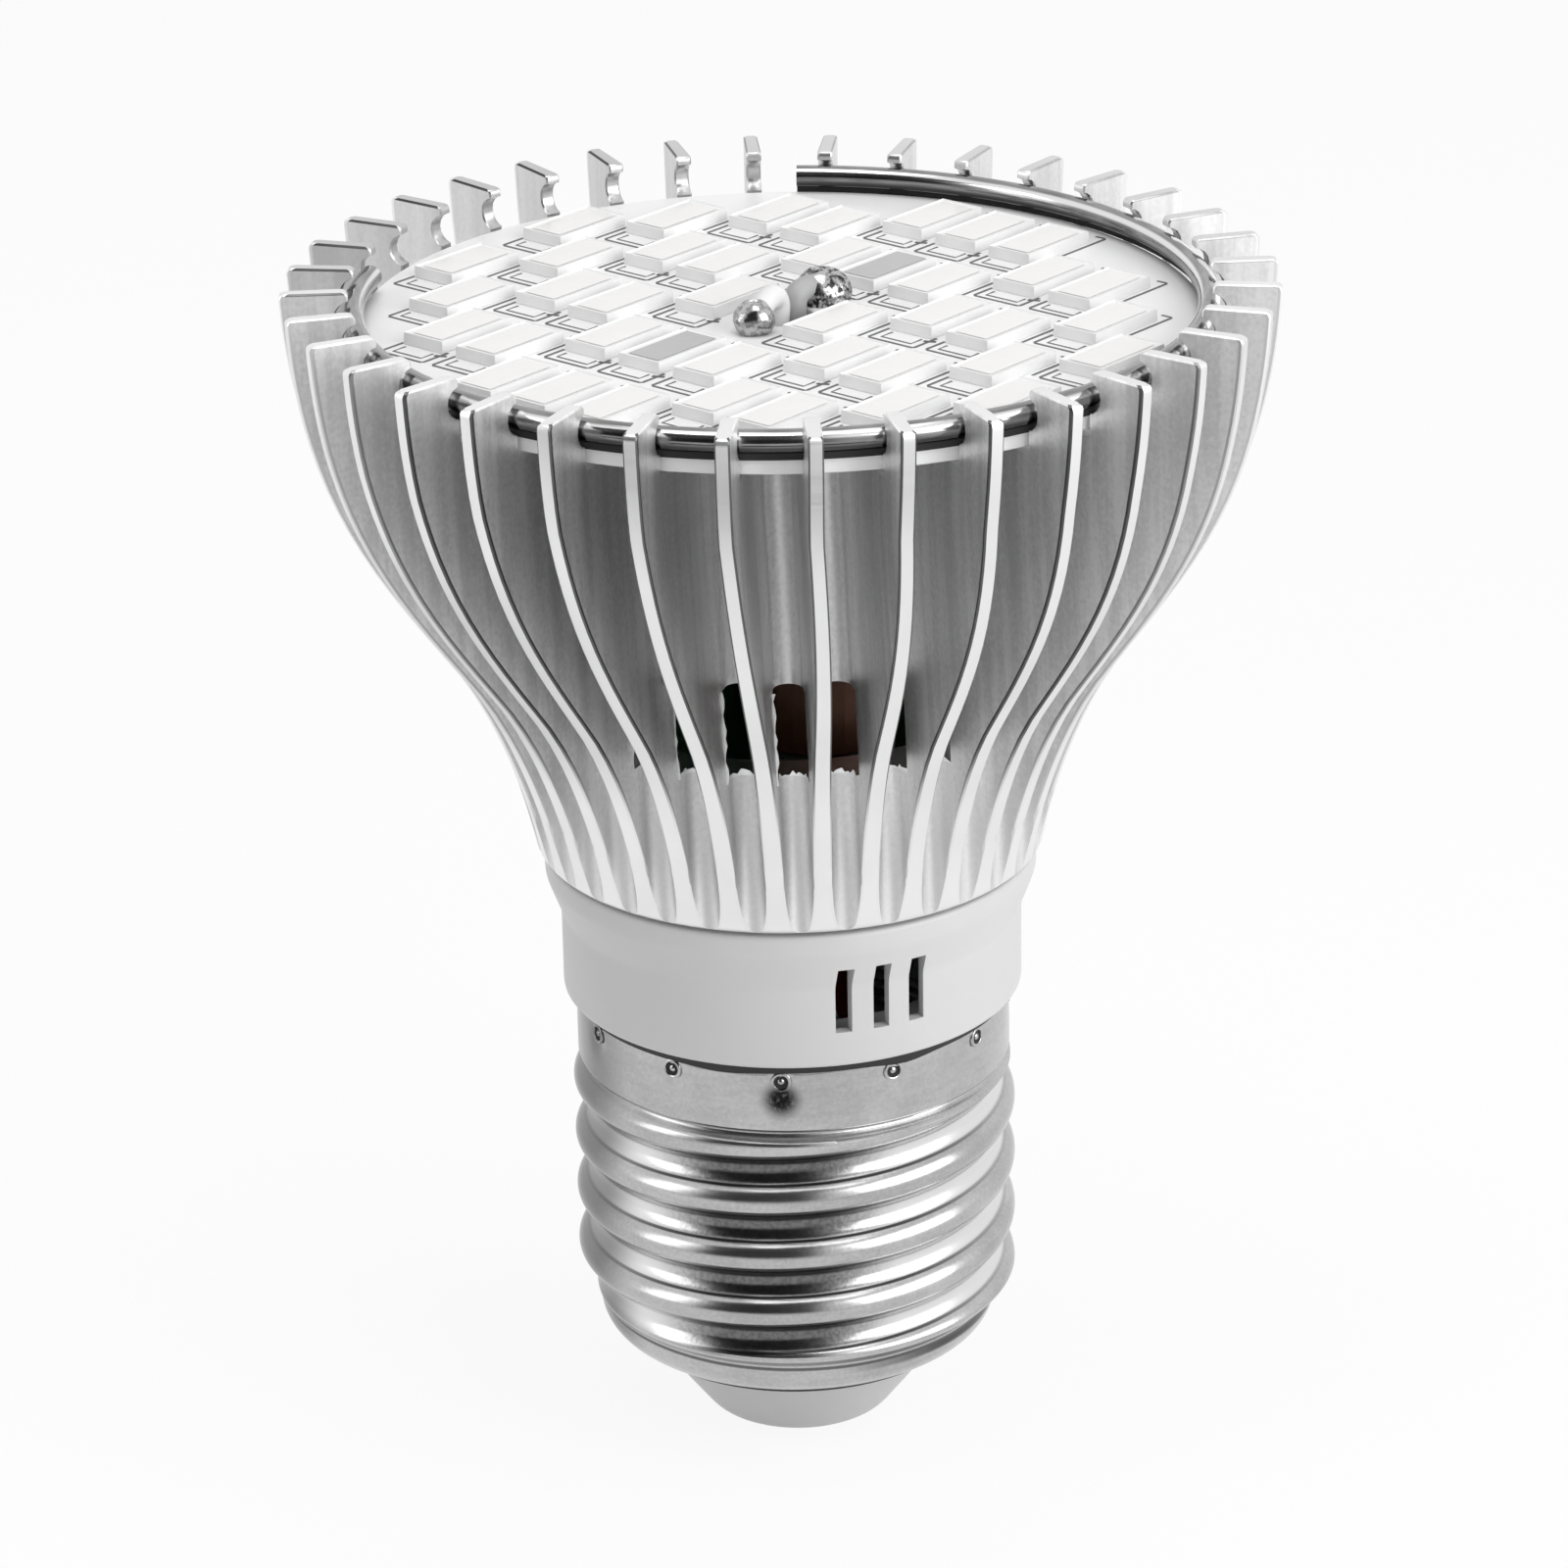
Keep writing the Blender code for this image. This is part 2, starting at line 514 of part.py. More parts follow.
def make_leds(pattern):
    """White packages with a sunken window, one mesh for all."""
    body = block((LED_LENGTH, LED_WIDTH, LED_HEIGHT))
    body.faces.ensure_lookup_table()
    top = max(body.faces, key=lambda face: face.calc_center_median().z)
    bmesh.ops.inset_region(body, faces=[top], thickness=LED_RIM)
    bmesh.ops.translate(body, verts=top.verts, vec=(0.0, 0.0, -LED_RECESS))
    first = new_object("led_01", body, material("led_package", (0.85, 0.85, 0.82), 0.4), smooth=False)
    level = BOARD_TOP + GAP + LED_HEIGHT / 2
    for index, (along, across) in enumerate(led_places()):
        led = first
        if index:
            led = bpy.data.objects.new(f"led_{index + 1:02d}", first.data)
            bpy.context.collection.objects.link(led)
        led.parent = pattern
        led.location = (along, across, level)


def wire(name, route, radius, surface):
    """Round wire along a route of points."""
    curve = bpy.data.curves.new(name, "CURVE")
    curve.dimensions = "3D"
    curve.bevel_depth = radius
    curve.bevel_resolution = 2
    curve.use_fill_caps = True
    spline = curve.splines.new("POLY")
    spline.points.add(len(route) - 1)
    for point, place in zip(spline.points, route):
        point.co = (*place, 1.0)
    curve.materials.append(surface)
    result = bpy.data.objects.new(name, curve)
    bpy.context.collection.objects.link(result)
    return result


def eased_route(points, steps):
    """Smooth curve through a few points, for a wire that hangs free."""
    ends = [points[0], *points, points[-1]]
    route = []
    for before, start, end, after in zip(ends, ends[1:], ends[2:], ends[3:]):
        tangents = ((Vector(end) - Vector(before)) / 2, (Vector(after) - Vector(start)) / 2)
        for step in range(steps):
            t = step / steps
            blend = smoothstep(0.0, 1.0, t)
            route.append(Vector(start) * (1.0 - blend) + Vector(end) * blend
                         + tangents[0] * t * (1.0 - t) ** 2 - tangents[1] * t * t * (1.0 - t))
    return [*route, Vector(points[-1])]


def make_led_leads(pattern):
    """Two sleeved leads up through the board's hole, each bent over to its solder joint."""
    sleeve = material("white_sleeve", (0.8, 0.8, 0.8), 0.5)
    solder = material("solder", (0.6, 0.6, 0.6), 0.25, 1.0)
    run_z = BOARD_TOP + GAP + SLEEVE_RADIUS
    for name, side in (("a", -1.0), ("b", 1.0)):
        bend = arc((LEAD_OFFSET + LEAD_BEND, run_z - LEAD_BEND), LEAD_BEND, math.pi, math.pi / 2, 5)
        route = [(side * LEAD_OFFSET, 0.0, DRIVER_TOP + GAP)]
        route += [(side * along, 0.0, z) for along, z in bend]
        lead = wire(f"led_lead_{name}", route, SLEEVE_RADIUS, sleeve)
        lead.parent = pattern
        dome = [(0.0, 0.0), (SOLDER_RADIUS, 0.0)]
        for across, up in arc((0.0, 0.0), 1.0, 0.0, math.pi / 2, 5)[1:-1]:
            dome.append((SOLDER_RADIUS * across, SOLDER_HEIGHT * up))
        dome.append((0.0, SOLDER_HEIGHT))
        joint = new_object(f"solder_joint_{name}", revolve(dome, SMALL_SEGMENTS), solder)
        joint.parent = pattern
        joint.location = (side * SOLDER_OFFSET, 0.0, BOARD_TOP + GAP)


def radius_inside_bore(side, clearance):
    """Radius of a round part that stands on the driver board and keeps a clearance from the bore."""
    reach = BORE_RADIUS - clearance
    return (reach ** 2 - side ** 2 - DRIVER_FACE ** 2) / (2 * (reach + DRIVER_FACE))


def make_driver(pattern):
    """Driver board in the neck's grooves, with its main components and its two supply leads."""
    fibreglass = material("fibreglass", (0.12, 0.3, 0.16), 0.5)
    board = block((2 * DRIVER_HALF_WIDTH, DRIVER_THICKNESS, DRIVER_HEIGHT))
    board = new_object("driver_board", board, fibreglass, smooth=False)
    board.parent = pattern
    board.location = (0.0, 0.0, DRIVER_BOTTOM + DRIVER_HEIGHT / 2)

    edge = 2 * EDGE_BREAK
    can_radius = radius_inside_bore(CAPACITOR_SIDE, CAPACITOR_CLEARANCE)
    can = [(0.0, 0.0), (can_radius - edge, 0.0), (can_radius, edge),
           (can_radius, CAPACITOR_HEIGHT - edge), (can_radius - edge, CAPACITOR_HEIGHT),
           (0.0, CAPACITOR_HEIGHT)]
    sleeve = material("can_sleeve", (0.05, 0.06, 0.1), 0.35)
    capacitor = new_object("electrolytic_capacitor", revolve(can, ROUND_SEGMENTS), sleeve)
    capacitor.parent = pattern
    capacitor.location = (CAPACITOR_SIDE, DRIVER_FACE + can_radius, DRIVER_BOTTOM + CAPACITOR_RISE)

    low = CHOKE_FLANGE
    high = CHOKE_HEIGHT - CHOKE_FLANGE
    drum_radius = radius_inside_bore(CHOKE_SIDE, CHOKE_CLEARANCE)
    coil_outer = drum_radius - GAP
    coil_inner = coil_outer - WINDING_DEPTH
    core_radius = coil_inner - GAP
    drum = [(0.0, 0.0), (drum_radius, 0.0), (drum_radius, low), (core_radius, low),
            (core_radius, high), (drum_radius, high), (drum_radius, CHOKE_HEIGHT), (0.0, CHOKE_HEIGHT)]
    coil = [(coil_inner, low + GAP), (coil_outer, low + GAP), (coil_outer, high - GAP),
            (coil_inner, high - GAP)]
    for name, profile, surface in (
            ("choke_core", drum, material("ferrite", (0.06, 0.06, 0.06), 0.6)),
            ("choke_winding", coil, material("enamelled_copper", (0.45, 0.18, 0.07), 0.35, 0.8))):
        choke = new_object(name, revolve(profile, ROUND_SEGMENTS), surface)
        choke.parent = pattern
        choke.location = (CHOKE_SIDE, -DRIVER_FACE - drum_radius, DRIVER_BOTTOM + CHOKE_RISE)

    moulding = material("moulded_black", (0.04, 0.04, 0.04), 0.5)
    rectifier = new_object("bridge_rectifier", block(RECTIFIER_SIZE), moulding, smooth=False)
    rectifier.parent = pattern
    rectifier.location = (RECTIFIER_SIDE, -DRIVER_FACE - RECTIFIER_SIZE[1] / 2,
                          DRIVER_BOTTOM + RECTIFIER_RISE)

    resistor_z = DRIVER_BOTTOM - GAP - RESISTOR_LENGTH
    body = [(0.0, 0.0), (RESISTOR_RADIUS - EDGE_BREAK, 0.0), (RESISTOR_RADIUS, EDGE_BREAK),
            (RESISTOR_RADIUS, RESISTOR_LENGTH - EDGE_BREAK),
            (RESISTOR_RADIUS - EDGE_BREAK, RESISTOR_LENGTH), (0.0, RESISTOR_LENGTH)]
    coat = material("resistor_coat", (0.25, 0.4, 0.5), 0.5)
    resistor = new_object("fusible_resistor", revolve(body, SMALL_SEGMENTS), coat)
    resistor.parent = pattern
    resistor.location = (RESISTOR_SIDE, 0.0, resistor_z)

    insulation = material("lead_insulation", (0.5, 0.05, 0.04), 0.5)
    drop = resistor_z - GAP
    hub_top = STEM_TOP + CONE_WALL
    middle = (drop + hub_top) / 2
    contact_route = eased_route([(RESISTOR_SIDE, 0.0, drop),
                                 (RESISTOR_SIDE * 0.8, 0.0, (drop + middle) / 2),
                                 (RESISTOR_SIDE * 0.2, 0.0, middle), (0.0, 0.0, hub_top + MM),
                                 (0.0, 0.0, STEM_TOP + GAP)], 3)
    contact_lead = wire("contact_lead", contact_route, WIRE_RADIUS, insulation)
    contact_lead.parent = pattern

    wall = VALLEY_RADIUS - SHELL_SHEET - GAP
    spigot_foot = NECK_BOTTOM - LOWER_SPIGOT
    beside = DRIVER_FACE + WIRE_RADIUS
    lead_end = wall - WIRE_RADIUS - GAP
    shell_route = eased_route([(SHELL_LEAD_SIDE, beside, DRIVER_BOTTOM + SHELL_LEAD_RISE),
                               (SHELL_LEAD_SIDE, beside, spigot_foot),
                               ((SHELL_LEAD_SIDE + lead_end) / 2, beside, spigot_foot - SHELL_LEAD_DROP / 2),
                               (lead_end, beside, spigot_foot - SHELL_LEAD_DROP)], 4)
    shell_lead = wire("shell_lead", shell_route, WIRE_RADIUS, insulation)
    shell_lead.parent = pattern


def main():
    """Build the bulb from the cap up."""
    for old in list(bpy.data.objects):
        bpy.data.objects.remove(old)
    pattern = bpy.data.objects.new("led_direction", None)
    bpy.context.collection.objects.link(pattern)
    pattern.rotation_euler = (0.0, 0.0, LED_ANGLE)
    make_contact_and_cone()
    make_screw_shell()
    make_neck_housing()
    make_heatsink()
    make_led_board()
    make_leds(pattern)
    make_led_leads(pattern)
    make_driver(pattern)


main()
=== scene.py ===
"""Looks of the grow light bulb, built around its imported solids.

Everything is in metres, with the bulb standing on its cap along +Z and the photographed side at -Y.
Outlines kept as tables are (radius, height) points in millimetres.
"""

import math
import random

import bmesh
import bpy
from mathutils import Matrix, Vector

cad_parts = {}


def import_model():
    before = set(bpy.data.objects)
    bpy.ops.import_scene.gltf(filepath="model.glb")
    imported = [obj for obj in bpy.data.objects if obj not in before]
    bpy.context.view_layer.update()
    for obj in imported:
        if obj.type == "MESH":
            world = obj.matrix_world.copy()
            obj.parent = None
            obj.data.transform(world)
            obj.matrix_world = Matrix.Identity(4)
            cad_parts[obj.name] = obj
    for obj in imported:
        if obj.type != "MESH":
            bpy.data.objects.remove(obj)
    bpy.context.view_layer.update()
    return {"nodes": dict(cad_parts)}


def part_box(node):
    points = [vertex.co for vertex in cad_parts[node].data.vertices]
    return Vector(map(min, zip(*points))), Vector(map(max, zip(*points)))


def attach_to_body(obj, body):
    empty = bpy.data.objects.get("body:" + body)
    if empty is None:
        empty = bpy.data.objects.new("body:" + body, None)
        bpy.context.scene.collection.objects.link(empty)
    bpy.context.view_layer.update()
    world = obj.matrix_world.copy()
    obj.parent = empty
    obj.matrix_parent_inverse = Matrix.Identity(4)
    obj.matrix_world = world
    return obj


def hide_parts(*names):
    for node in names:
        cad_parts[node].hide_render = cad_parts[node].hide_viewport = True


MM = 0.001
TURN = 2.0 * math.pi
UP = Vector((0.0, 0.0, 1.0))

# Camera, fitted to the photograph
CAMERA_PLACE = (0.0, -0.317409, 0.172913)
CAMERA_PITCH = math.radians(22.5879)
CAMERA_YAW = math.radians(-0.0564)
CAMERA_ROLL = math.radians(-1.0297)
LENS = 134.919
SENSOR = 36.0

# Studio; each panel has a name, a place, a size and a radiance
SKY_LIGHT = 0.36
STUDIO_RADIUS = 3.0
FLOOR_DROP = 0.05 * MM
FLOOR_VEIL = 0.9
CARD_LEFT = -0.62
CARD_RIGHT = 0.12
CARD_STRIPS = (((-0.4, 0.0005), (-0.4, 0.4), (-0.2, 0.53)), ((-0.11, 0.0005), (-0.155, 0.0005)))
LIGHT_TARGET = (0.0, 0.0, 0.04)
PANELS = (("right_panel", (0.39, -0.26, 0.24), (0.5, 0.42), 3.2),
          ("left_panel", (-0.46, -0.13, 0.22), (0.2, 0.4), 1.7),
          ("top_panel", (0.0, -0.06, 0.62), (0.4, 0.4), 2.4))

# Heatsink
FIN_COUNT = 36
FIN_PHASE = math.radians(3.46)
FIN_ROOT_HALF = 0.53 * MM
FIN_TIP_HALF = 0.41 * MM
FIN_CHAMFER = 0.09 * MM
BLUNT_EDGE = 0.07 * MM
FLOOR_RADIUS = 14.7 * MM
BORE_RADIUS = 12.48 * MM
WINDOW_RADIUS = 16.2 * MM
WINDOW_LOW = 47.5 * MM
WINDOW_HIGH = 53.0 * MM
SEAT_Z = 68.3 * MM
RECESS_RADIUS = 24.4 * MM
RIM_ROUND = 0.35 * MM
FOOT_ROUND = 0.55 * MM
FOOT_ROUND_SHARE = 0.75
EDGE_LINE = 0.16 * MM
NOSE_ROUND = 0.32 * MM
TWIST = math.radians(3.6)
TWIST_FROM = 66.0 * MM
TWIST_TO = 37.74 * MM
BURR_REACH = 0.4 * MM
SIDE_BURR_REACH = 0.18 * MM

# Turned outline of the heatsink: two curves that meet at the waist, with their handles
RIM_RADIUS = 28.3 * MM
RIM_HANDLE = (0.45 * MM, 0.497)
WAIST_RADIUS = 19.86 * MM
WAIST_DROP = 21.23 * MM
WAIST_SLOPE = Vector((0.587, 0.809))
WAIST_HANDLES = (0.35, 0.324)
FOOT_RADIUS = 14.8 * MM
FOOT_HANDLE = (0.06, 0.32)
CURVE_STEPS = 60

# Ring and board
RING_RADIUS = 24.2 * MM
RING_WIRE = 0.65 * MM
RING_LEVEL = 70.55 * MM
RING_FROM = math.radians(87.4)
RING_SWEEP = math.radians(-281.0)
GROOVE_RADIUS = RING_WIRE + 0.3 * MM
BOARD_HOLE = 1.95 * MM
BOARD_EDGE = 0.08 * MM
BOARD_INSET = 0.02 * MM

# LEDs; a column's reach is the number of its last row, and rows are two apart
LED_ANGLE = math.radians(49.34)
COLUMN_REACH = (4, 4, 3, 3, 2, 1)
COLUMN_PITCH = 4.0 * MM
ROW_PITCH = 4.64 * MM
DIM_LEDS = ((0, -2), (0, 2))
LED_LENGTH = 5.7 * MM
LED_WIDTH = 3.0 * MM
LED_HEIGHT = 0.68 * MM
LED_LIFT = 0.02 * MM
LED_TAPER = 0.03 * MM
LED_RIM = 0.34 * MM
LED_SLOPE = 0.1 * MM
LED_SINK = 0.08 * MM
RESIN_MARGIN = 0.4 * MM
RESIN_LEVEL = 0.64 * MM
RESIN_CROWN = 0.03 * MM

# Lines round the pads
LINE_WIDTH = 0.19 * MM
INNER_LINE_WIDTH = 0.14 * MM
# TICK_WIDTH and TICK_HEIGHT size a short stroke of painted shade
TICK_WIDTH = 0.24 * MM
LINE_HEIGHT = 0.02 * MM
TICK_HEIGHT = 0.03 * MM
LINE_CORNER = 0.12 * MM

# Solder joints as name, place on the board, radius, height and the angle they start at
SOLDER = (("solder_near", (-3.25, -0.8), 1.18, 1.1, -0.8), ("solder_far", (3.65, 0.0), 1.68, 1.5, -0.3))

# Sleeves, as points on the board and over its top in millimetres
SLEEVE_RADIUS = 0.7 * MM
SLEEVES = (("sleeve_near", ((-0.7, 0.0, -2.0), (-0.35, 0.0, -0.2), (-0.1, 0.0, 1.3), (-1.6, -0.4, 1.7),
                            (-2.9, -0.7, 1.0))),
           ("sleeve_far", ((1.15, 0.0, -2.0), (1.15, 0.0, -0.2), (1.2, 0.0, 1.0), (2.1, 0.0, 1.15),
                           (3.1, 0.0, 1.0))))

# Neck, over its foot; the upper spigot ends at the top of its solid
NECK = ((10.83, 0.0), (12.18, 0.0), (12.18, 4.2), (13.55, 4.2), (13.55, 9.2), (14.43, 11.55), (14.43, 12.84),
        (12.18, 12.84))
NECK_ROUND = 0.3 * MM
SLOT_MIDDLE = math.radians(-68.2)
SLOT_PITCH = 2.24
SLOT_HALF = 0.48
SLOT_DEPTH = (12.0, 15.4)
SLOT_SILL = 6.35 * MM
SLOT_HEIGHT = 4.1 * MM
SLOT_RECESS = (9.8, 12.9)
SLOT_RECESS_SIDES = (-3.0, 4.6)
SLOT_RECESS_TURNS = (-0.235, 0.363)
SLOT_RECESS_MARGIN = 0.4 * MM

# Screw shell
THREAD_PITCH = 3.629 * MM
THREAD_START = math.radians(214.4)
THREAD_ARC = 1.025 * MM
THREAD_LENGTH = 14.9 * MM
CREST_RADIUS = 13.15 * MM
SKIRT_RADIUS = 12.83 * MM
BAND_RADIUS = 12.45 * MM
SHOULDER_RADIUS = 11.9 * MM
SHOULDER_ROUND = 1.75 * MM
SHOULDER_RISE = 2.2 * MM
MOUTH_RADIUS = 10.1 * MM
SHELL_SHEET = 0.35 * MM
SHELL_ROUND = 0.06 * MM
SHELL_SEGMENTS = 240

# Crimps, and the places where the shell's edge sags as angle, width and depth
CRIMP_COUNT = 12
CRIMP_PHASE = math.radians(-93.5)
CRIMP_DROP = 0.85 * MM
CRIMP_CORE = ((0.0, 0.08), (0.1, 0.07), (0.19, 0.0), (0.19, -0.1), (0.0, -0.1))
CRIMP_BOWL = ((0.0, 0.05), (0.1, 0.03), (0.2, -0.03), (0.36, -0.02), (0.47, 0.06), (0.5, -0.08), (0.25, -0.18),
              (0.0, -0.18))
CRIMP_LIP = (0.52, 0.11, 0.1)
EDGE_DIPS = ((math.radians(-109.0), 0.16, 0.14 * MM), (math.radians(-60.0), 0.13, 0.22 * MM))
EDGE_WAVE = 0.08 * MM

# Dark sheets painted as the shadows in the gaps over the shell's edge, under its lip and behind the ring
UPPER_GAP_SHADOW = ((12.3, 0.16), (12.3, -0.3), (12.44, -0.3), (12.9, -0.25), (13.1, 0.16))
LOWER_GAP_SHADOW = ((9.75, 0.1), (9.75, -0.2), (10.2, -0.14), (10.2, 0.1))
RING_GAP_SHADOW = ((24.26, -0.1), (24.36, -0.1), (24.36, 0.3), (24.26, 0.3))

# Cone and contact
CONE = ((1.2, 0.0), (5.3, 0.0), (9.45, 5.5), (9.6, 7.0), (11.0, 8.4), (11.0, 9.5), (9.4, 9.5), (8.0, 6.3), (4.2, 3.2),
        (2.6, 3.2), (2.6, 4.3), (1.2, 4.3))
CONE_ROUND = 0.9 * MM
CONTACT = ((0.0, 0.0), (1.2, 0.0), (1.5, 0.12), (3.25, 0.12), (3.6, 0.3), (3.6, 0.5), (0.9, 0.5), (0.9, 3.5),
           (0.0, 3.5))

# Numbers of the heatsink's finishes on its faces, SHADE being the painted shade lines along the fins' edges, and of
# points in half a section
EXTRUDED, TURNED, SHADE = range(3)
OUTER_EDGE, SEAT_POINT, WINDOW_POINT = 2, 4, 5


class Signal:
    """One output socket of a node; arithmetic on it adds Math nodes."""

    def __init__(self, tree, socket):
        self.tree = tree
        self.socket = socket

    def math(self, operation, *others):
        return self.tree.add("ShaderNodeMath", {"operation": operation}, [self, *others])[0]

    def __add__(self, other):
        return self.math("ADD", other)

    __radd__ = __add__

    def __mul__(self, other):
        return self.math("MULTIPLY", other)

    __rmul__ = __mul__

    def __sub__(self, other):
        return self.math("SUBTRACT", other)

    def __rsub__(self, other):
        return (self * -1.0) + other

    def __truediv__(self, other):
        return self.math("DIVIDE", other)

    def band(self, low, high):
        """Rise smoothly from 0 at low to 1 at high."""
        settings = {"interpolation_type": "SMOOTHSTEP"}
        return self.tree.add("ShaderNodeMapRange", settings, {0: self, 1: low, 2: high})[0]

    def fall(self, low, high):
        """Fall smoothly from 1 at low to 0 at high."""
        return 1.0 - self.band(low, high)

    def near(self, inner, outer):
        """1 within inner of 0, and 0 beyond outer."""
        return self.math("ABSOLUTE").fall(inner, outer)


class Step:
    """One node, whose outputs are read by name or number."""

    def __init__(self, tree, node):
        self.tree = tree
        self.node = node

    def __getitem__(self, key):
        return Signal(self.tree, self.node.outputs[key])


class Tree:
    """Adds nodes to a shader or geometry tree."""

    def __init__(self, nodes):
        self.nodes = nodes

    def add(self, kind, settings=None, inputs=()):
        node = self.nodes.nodes.new(kind)
        for name, value in (settings or {}).items():
            setattr(node, name, value)
        pairs = inputs.items() if isinstance(inputs, dict) else enumerate(inputs)
        for key, value in pairs:
            if isinstance(value, Signal):
                self.nodes.links.new(value.socket, node.inputs[key])
            else:
                node.inputs[key].default_value = value
        return Step(self, node)

    def link(self, signal, socket):
        self.nodes.links.new(signal.socket, socket)

    def blend(self, factor, first, second):
        """Mix two colours."""
        return self.add("ShaderNodeMix", {"data_type": "RGBA"}, {0: factor, 6: first, 7: second})[2]

    def place(self, scale=(1.0, 1.0, 1.0)):
        """Object coordinates, stretched."""
        source = self.add("ShaderNodeTexCoord")["Object"]
        return self.add("ShaderNodeMapping", {}, {"Vector": source, "Scale": scale})[0]

    def noise(self, vector, scale, detail=3.0, roughness=0.55):
        inputs = {"Vector": vector, "Scale": scale, "Detail": detail, "Roughness": roughness}
        return self.add("ShaderNodeTexNoise", {}, inputs)[0]

    def polar(self):
        """Radius, angle and height of a point about the bulb's axis."""
        source = self.add("ShaderNodeTexCoord")["Object"]
        parts = self.add("ShaderNodeSeparateXYZ", {}, [source])
        x, y, z = parts[0], parts[1], parts[2]
        return (x * x + y * y).math("SQRT"), y.math("ARCTAN2", x), z

    def vector(self, x, y, z):
        return self.add("ShaderNodeCombineXYZ", {}, [x, y, z])[0]


def grey(value, warm=0.0):
    """A neutral colour, or one turned slightly warm."""
    return (value * (1.0 + warm), value, value * (1.0 - warm), 1.0)


class Finish(Tree):
    """A material with one Principled shader, whose varying inputs are linked by name."""

    def __init__(self, name, colour, roughness, metallic=0.0, **plain):
        self.material = bpy.data.materials.new(name)
        self.material.use_nodes = True
        super().__init__(self.material.node_tree)
        self.shader = self.nodes.nodes["Principled BSDF"]
        self.give(base_color=colour, roughness=roughness, metallic=metallic, **plain)

    def give(self, **inputs):
        for name, value in inputs.items():
            label = {"ior": "IOR"}.get(name, name.replace("_", " ").title())
            socket = self.shader.inputs[label]
            if isinstance(value, Signal):
                self.link(value, socket)
            else:
                socket.default_value = value

    def bump(self, height, strength, distance):
        """Bump from a height signal."""
        normal = self.add("ShaderNodeBump", {}, {"Height": height, "Strength": strength, "Distance": distance})
        self.give(normal=normal[0])


def spaced(start, stop, steps):
    """Evenly spaced values, both ends included."""
    return [start + (stop - start) * step / steps for step in range(steps + 1)]


def smoothstep(low, high, value):
    """Rise smoothly from 0 at low to 1 at high."""
    t = min(max((value - low) / (high - low), 0.0), 1.0)
    return t * t * (3.0 - 2.0 * t)


def rounding(radius, past):
    """How far a rounded edge draws back at a distance past the start of its rounding."""
    return radius - math.sqrt(max(radius ** 2 - past ** 2, 0.0)) if past > 0.0 else 0.0


def in_mm(outline, base=0.0):
    """Outline from a table, in metres and lifted to a base."""
    return [(radius * MM, base + z * MM) for radius, z in outline]


def polar_point(radius, angle):
    """Flat point at a radius and an angle."""
    return (radius * math.cos(angle), radius * math.sin(angle))


def arc(centre, radius, start, stop, steps):
    """Flat points along an arc, both ends included."""
    return [(centre[0] + radius * math.cos(a), centre[1] + radius * math.sin(a)) for a in spaced(start, stop, steps)]


def circle(radius, z, segments):
    """Points round the axis at one level."""
    return [(*polar_point(radius, TURN * step / segments), z) for step in range(segments)]


def placed(name, data):
    """New object in the scene."""
    result = bpy.data.objects.new(name, data)
    bpy.context.scene.collection.objects.link(result)
    return result


def shade(mesh, sharp):
    """Smooth shading that keeps edges over an angle in degrees sharp."""
    mesh.shade_smooth()
    mesh.set_sharp_from_angle(angle=math.radians(sharp))


def mesh_object(name, bm, materials=(), sharp=35.0):
    """Turn a bmesh into a smooth-shaded object with outward faces."""
    bmesh.ops.recalc_face_normals(bm, faces=bm.faces)
    mesh = bpy.data.meshes.new(name)
    bm.to_mesh(mesh)
    bm.free()
    shade(mesh, sharp)
    for finish in materials:
        mesh.materials.append(finish.material)
    return placed(name, mesh)


def face_outward(target):
    """Outward faces on a finished piece, smooth, with its sharp edges kept."""
    bm = bmesh.new()
    bm.from_mesh(target.data)
    bmesh.ops.recalc_face_normals(bm, faces=bm.faces)
    bm.to_mesh(target.data)
    bm.free()
    shade(target.data, 32.0)


def skin(bm, rows, closed=False, tag=None, layer=None):
    """Join rows of points with faces; closed rows are loops."""
    verts = [[bm.verts.new(point) for point in row] for row in rows]
    count = len(rows[0])
    for low, high in zip(verts, verts[1:]):
        for column in range(count if closed else count - 1):
            after = (column + 1) % count
            face = bm.faces.new((low[column], low[after], high[after], high[column]))
            if layer and tag:
                face[layer] = tag(column)
    return verts


def cap_ends(bm, verts):
    """Close the first and the last row of a skin."""
    bm.faces.new(verts[0])
    bm.faces.new(verts[-1])


def merge(bm, distance=1e-8):
    bmesh.ops.remove_doubles(bm, verts=bm.verts, dist=distance)


def turned_rows(profile, segments):
    """Rings for (radius, z) points; an outline that stays off the axis comes back to its start."""
    rows = [circle(radius, z, segments) for radius, z in profile]
    return rows + rows[:1] if all(radius > 0.0 for radius, z in profile) else rows


def revolve(profile, segments):
    """Closed body turned about Z from (radius, z) points."""
    bm = bmesh.new()
    skin(bm, turned_rows(profile, segments), closed=True)
    merge(bm)
    return bm


def rounded(profile, radius, steps=4):
    """Round the corners of an open profile of (radius, z) points."""
    result = [profile[0]]
    for last, corner, following in zip(profile, profile[1:], profile[2:]):
        here = Vector(corner)
        before = Vector(last) - here
        after = Vector(following) - here
        cut = min(radius, before.length * 0.45, after.length * 0.45)
        start = here + before.normalized() * cut
        stop = here + after.normalized() * cut
        for t in spaced(0.0, 1.0, steps):
            result.append(tuple(start * (1 - t) ** 2 + here * 2 * t * (1 - t) + stop * t * t))
    return [*result, profile[-1]]


def plain_mesh(target):
    """Mesh of an object with its modifiers or its curve worked out."""
    bpy.context.view_layer.update()
    graph = bpy.context.evaluated_depsgraph_get()
    return bpy.data.meshes.new_from_object(target.evaluated_get(graph))


def keep_result(target):
    """Turn an object with modifiers into one plain mesh."""
    mesh = plain_mesh(target)
    target.modifiers.clear()
    target.data = mesh
    return target


def paint(tree, shape, finish, **chosen):
    inputs = {"Geometry": shape, "Material": finish.material, **chosen}
    return tree.add("GeometryNodeSetMaterial", {}, inputs)[0]


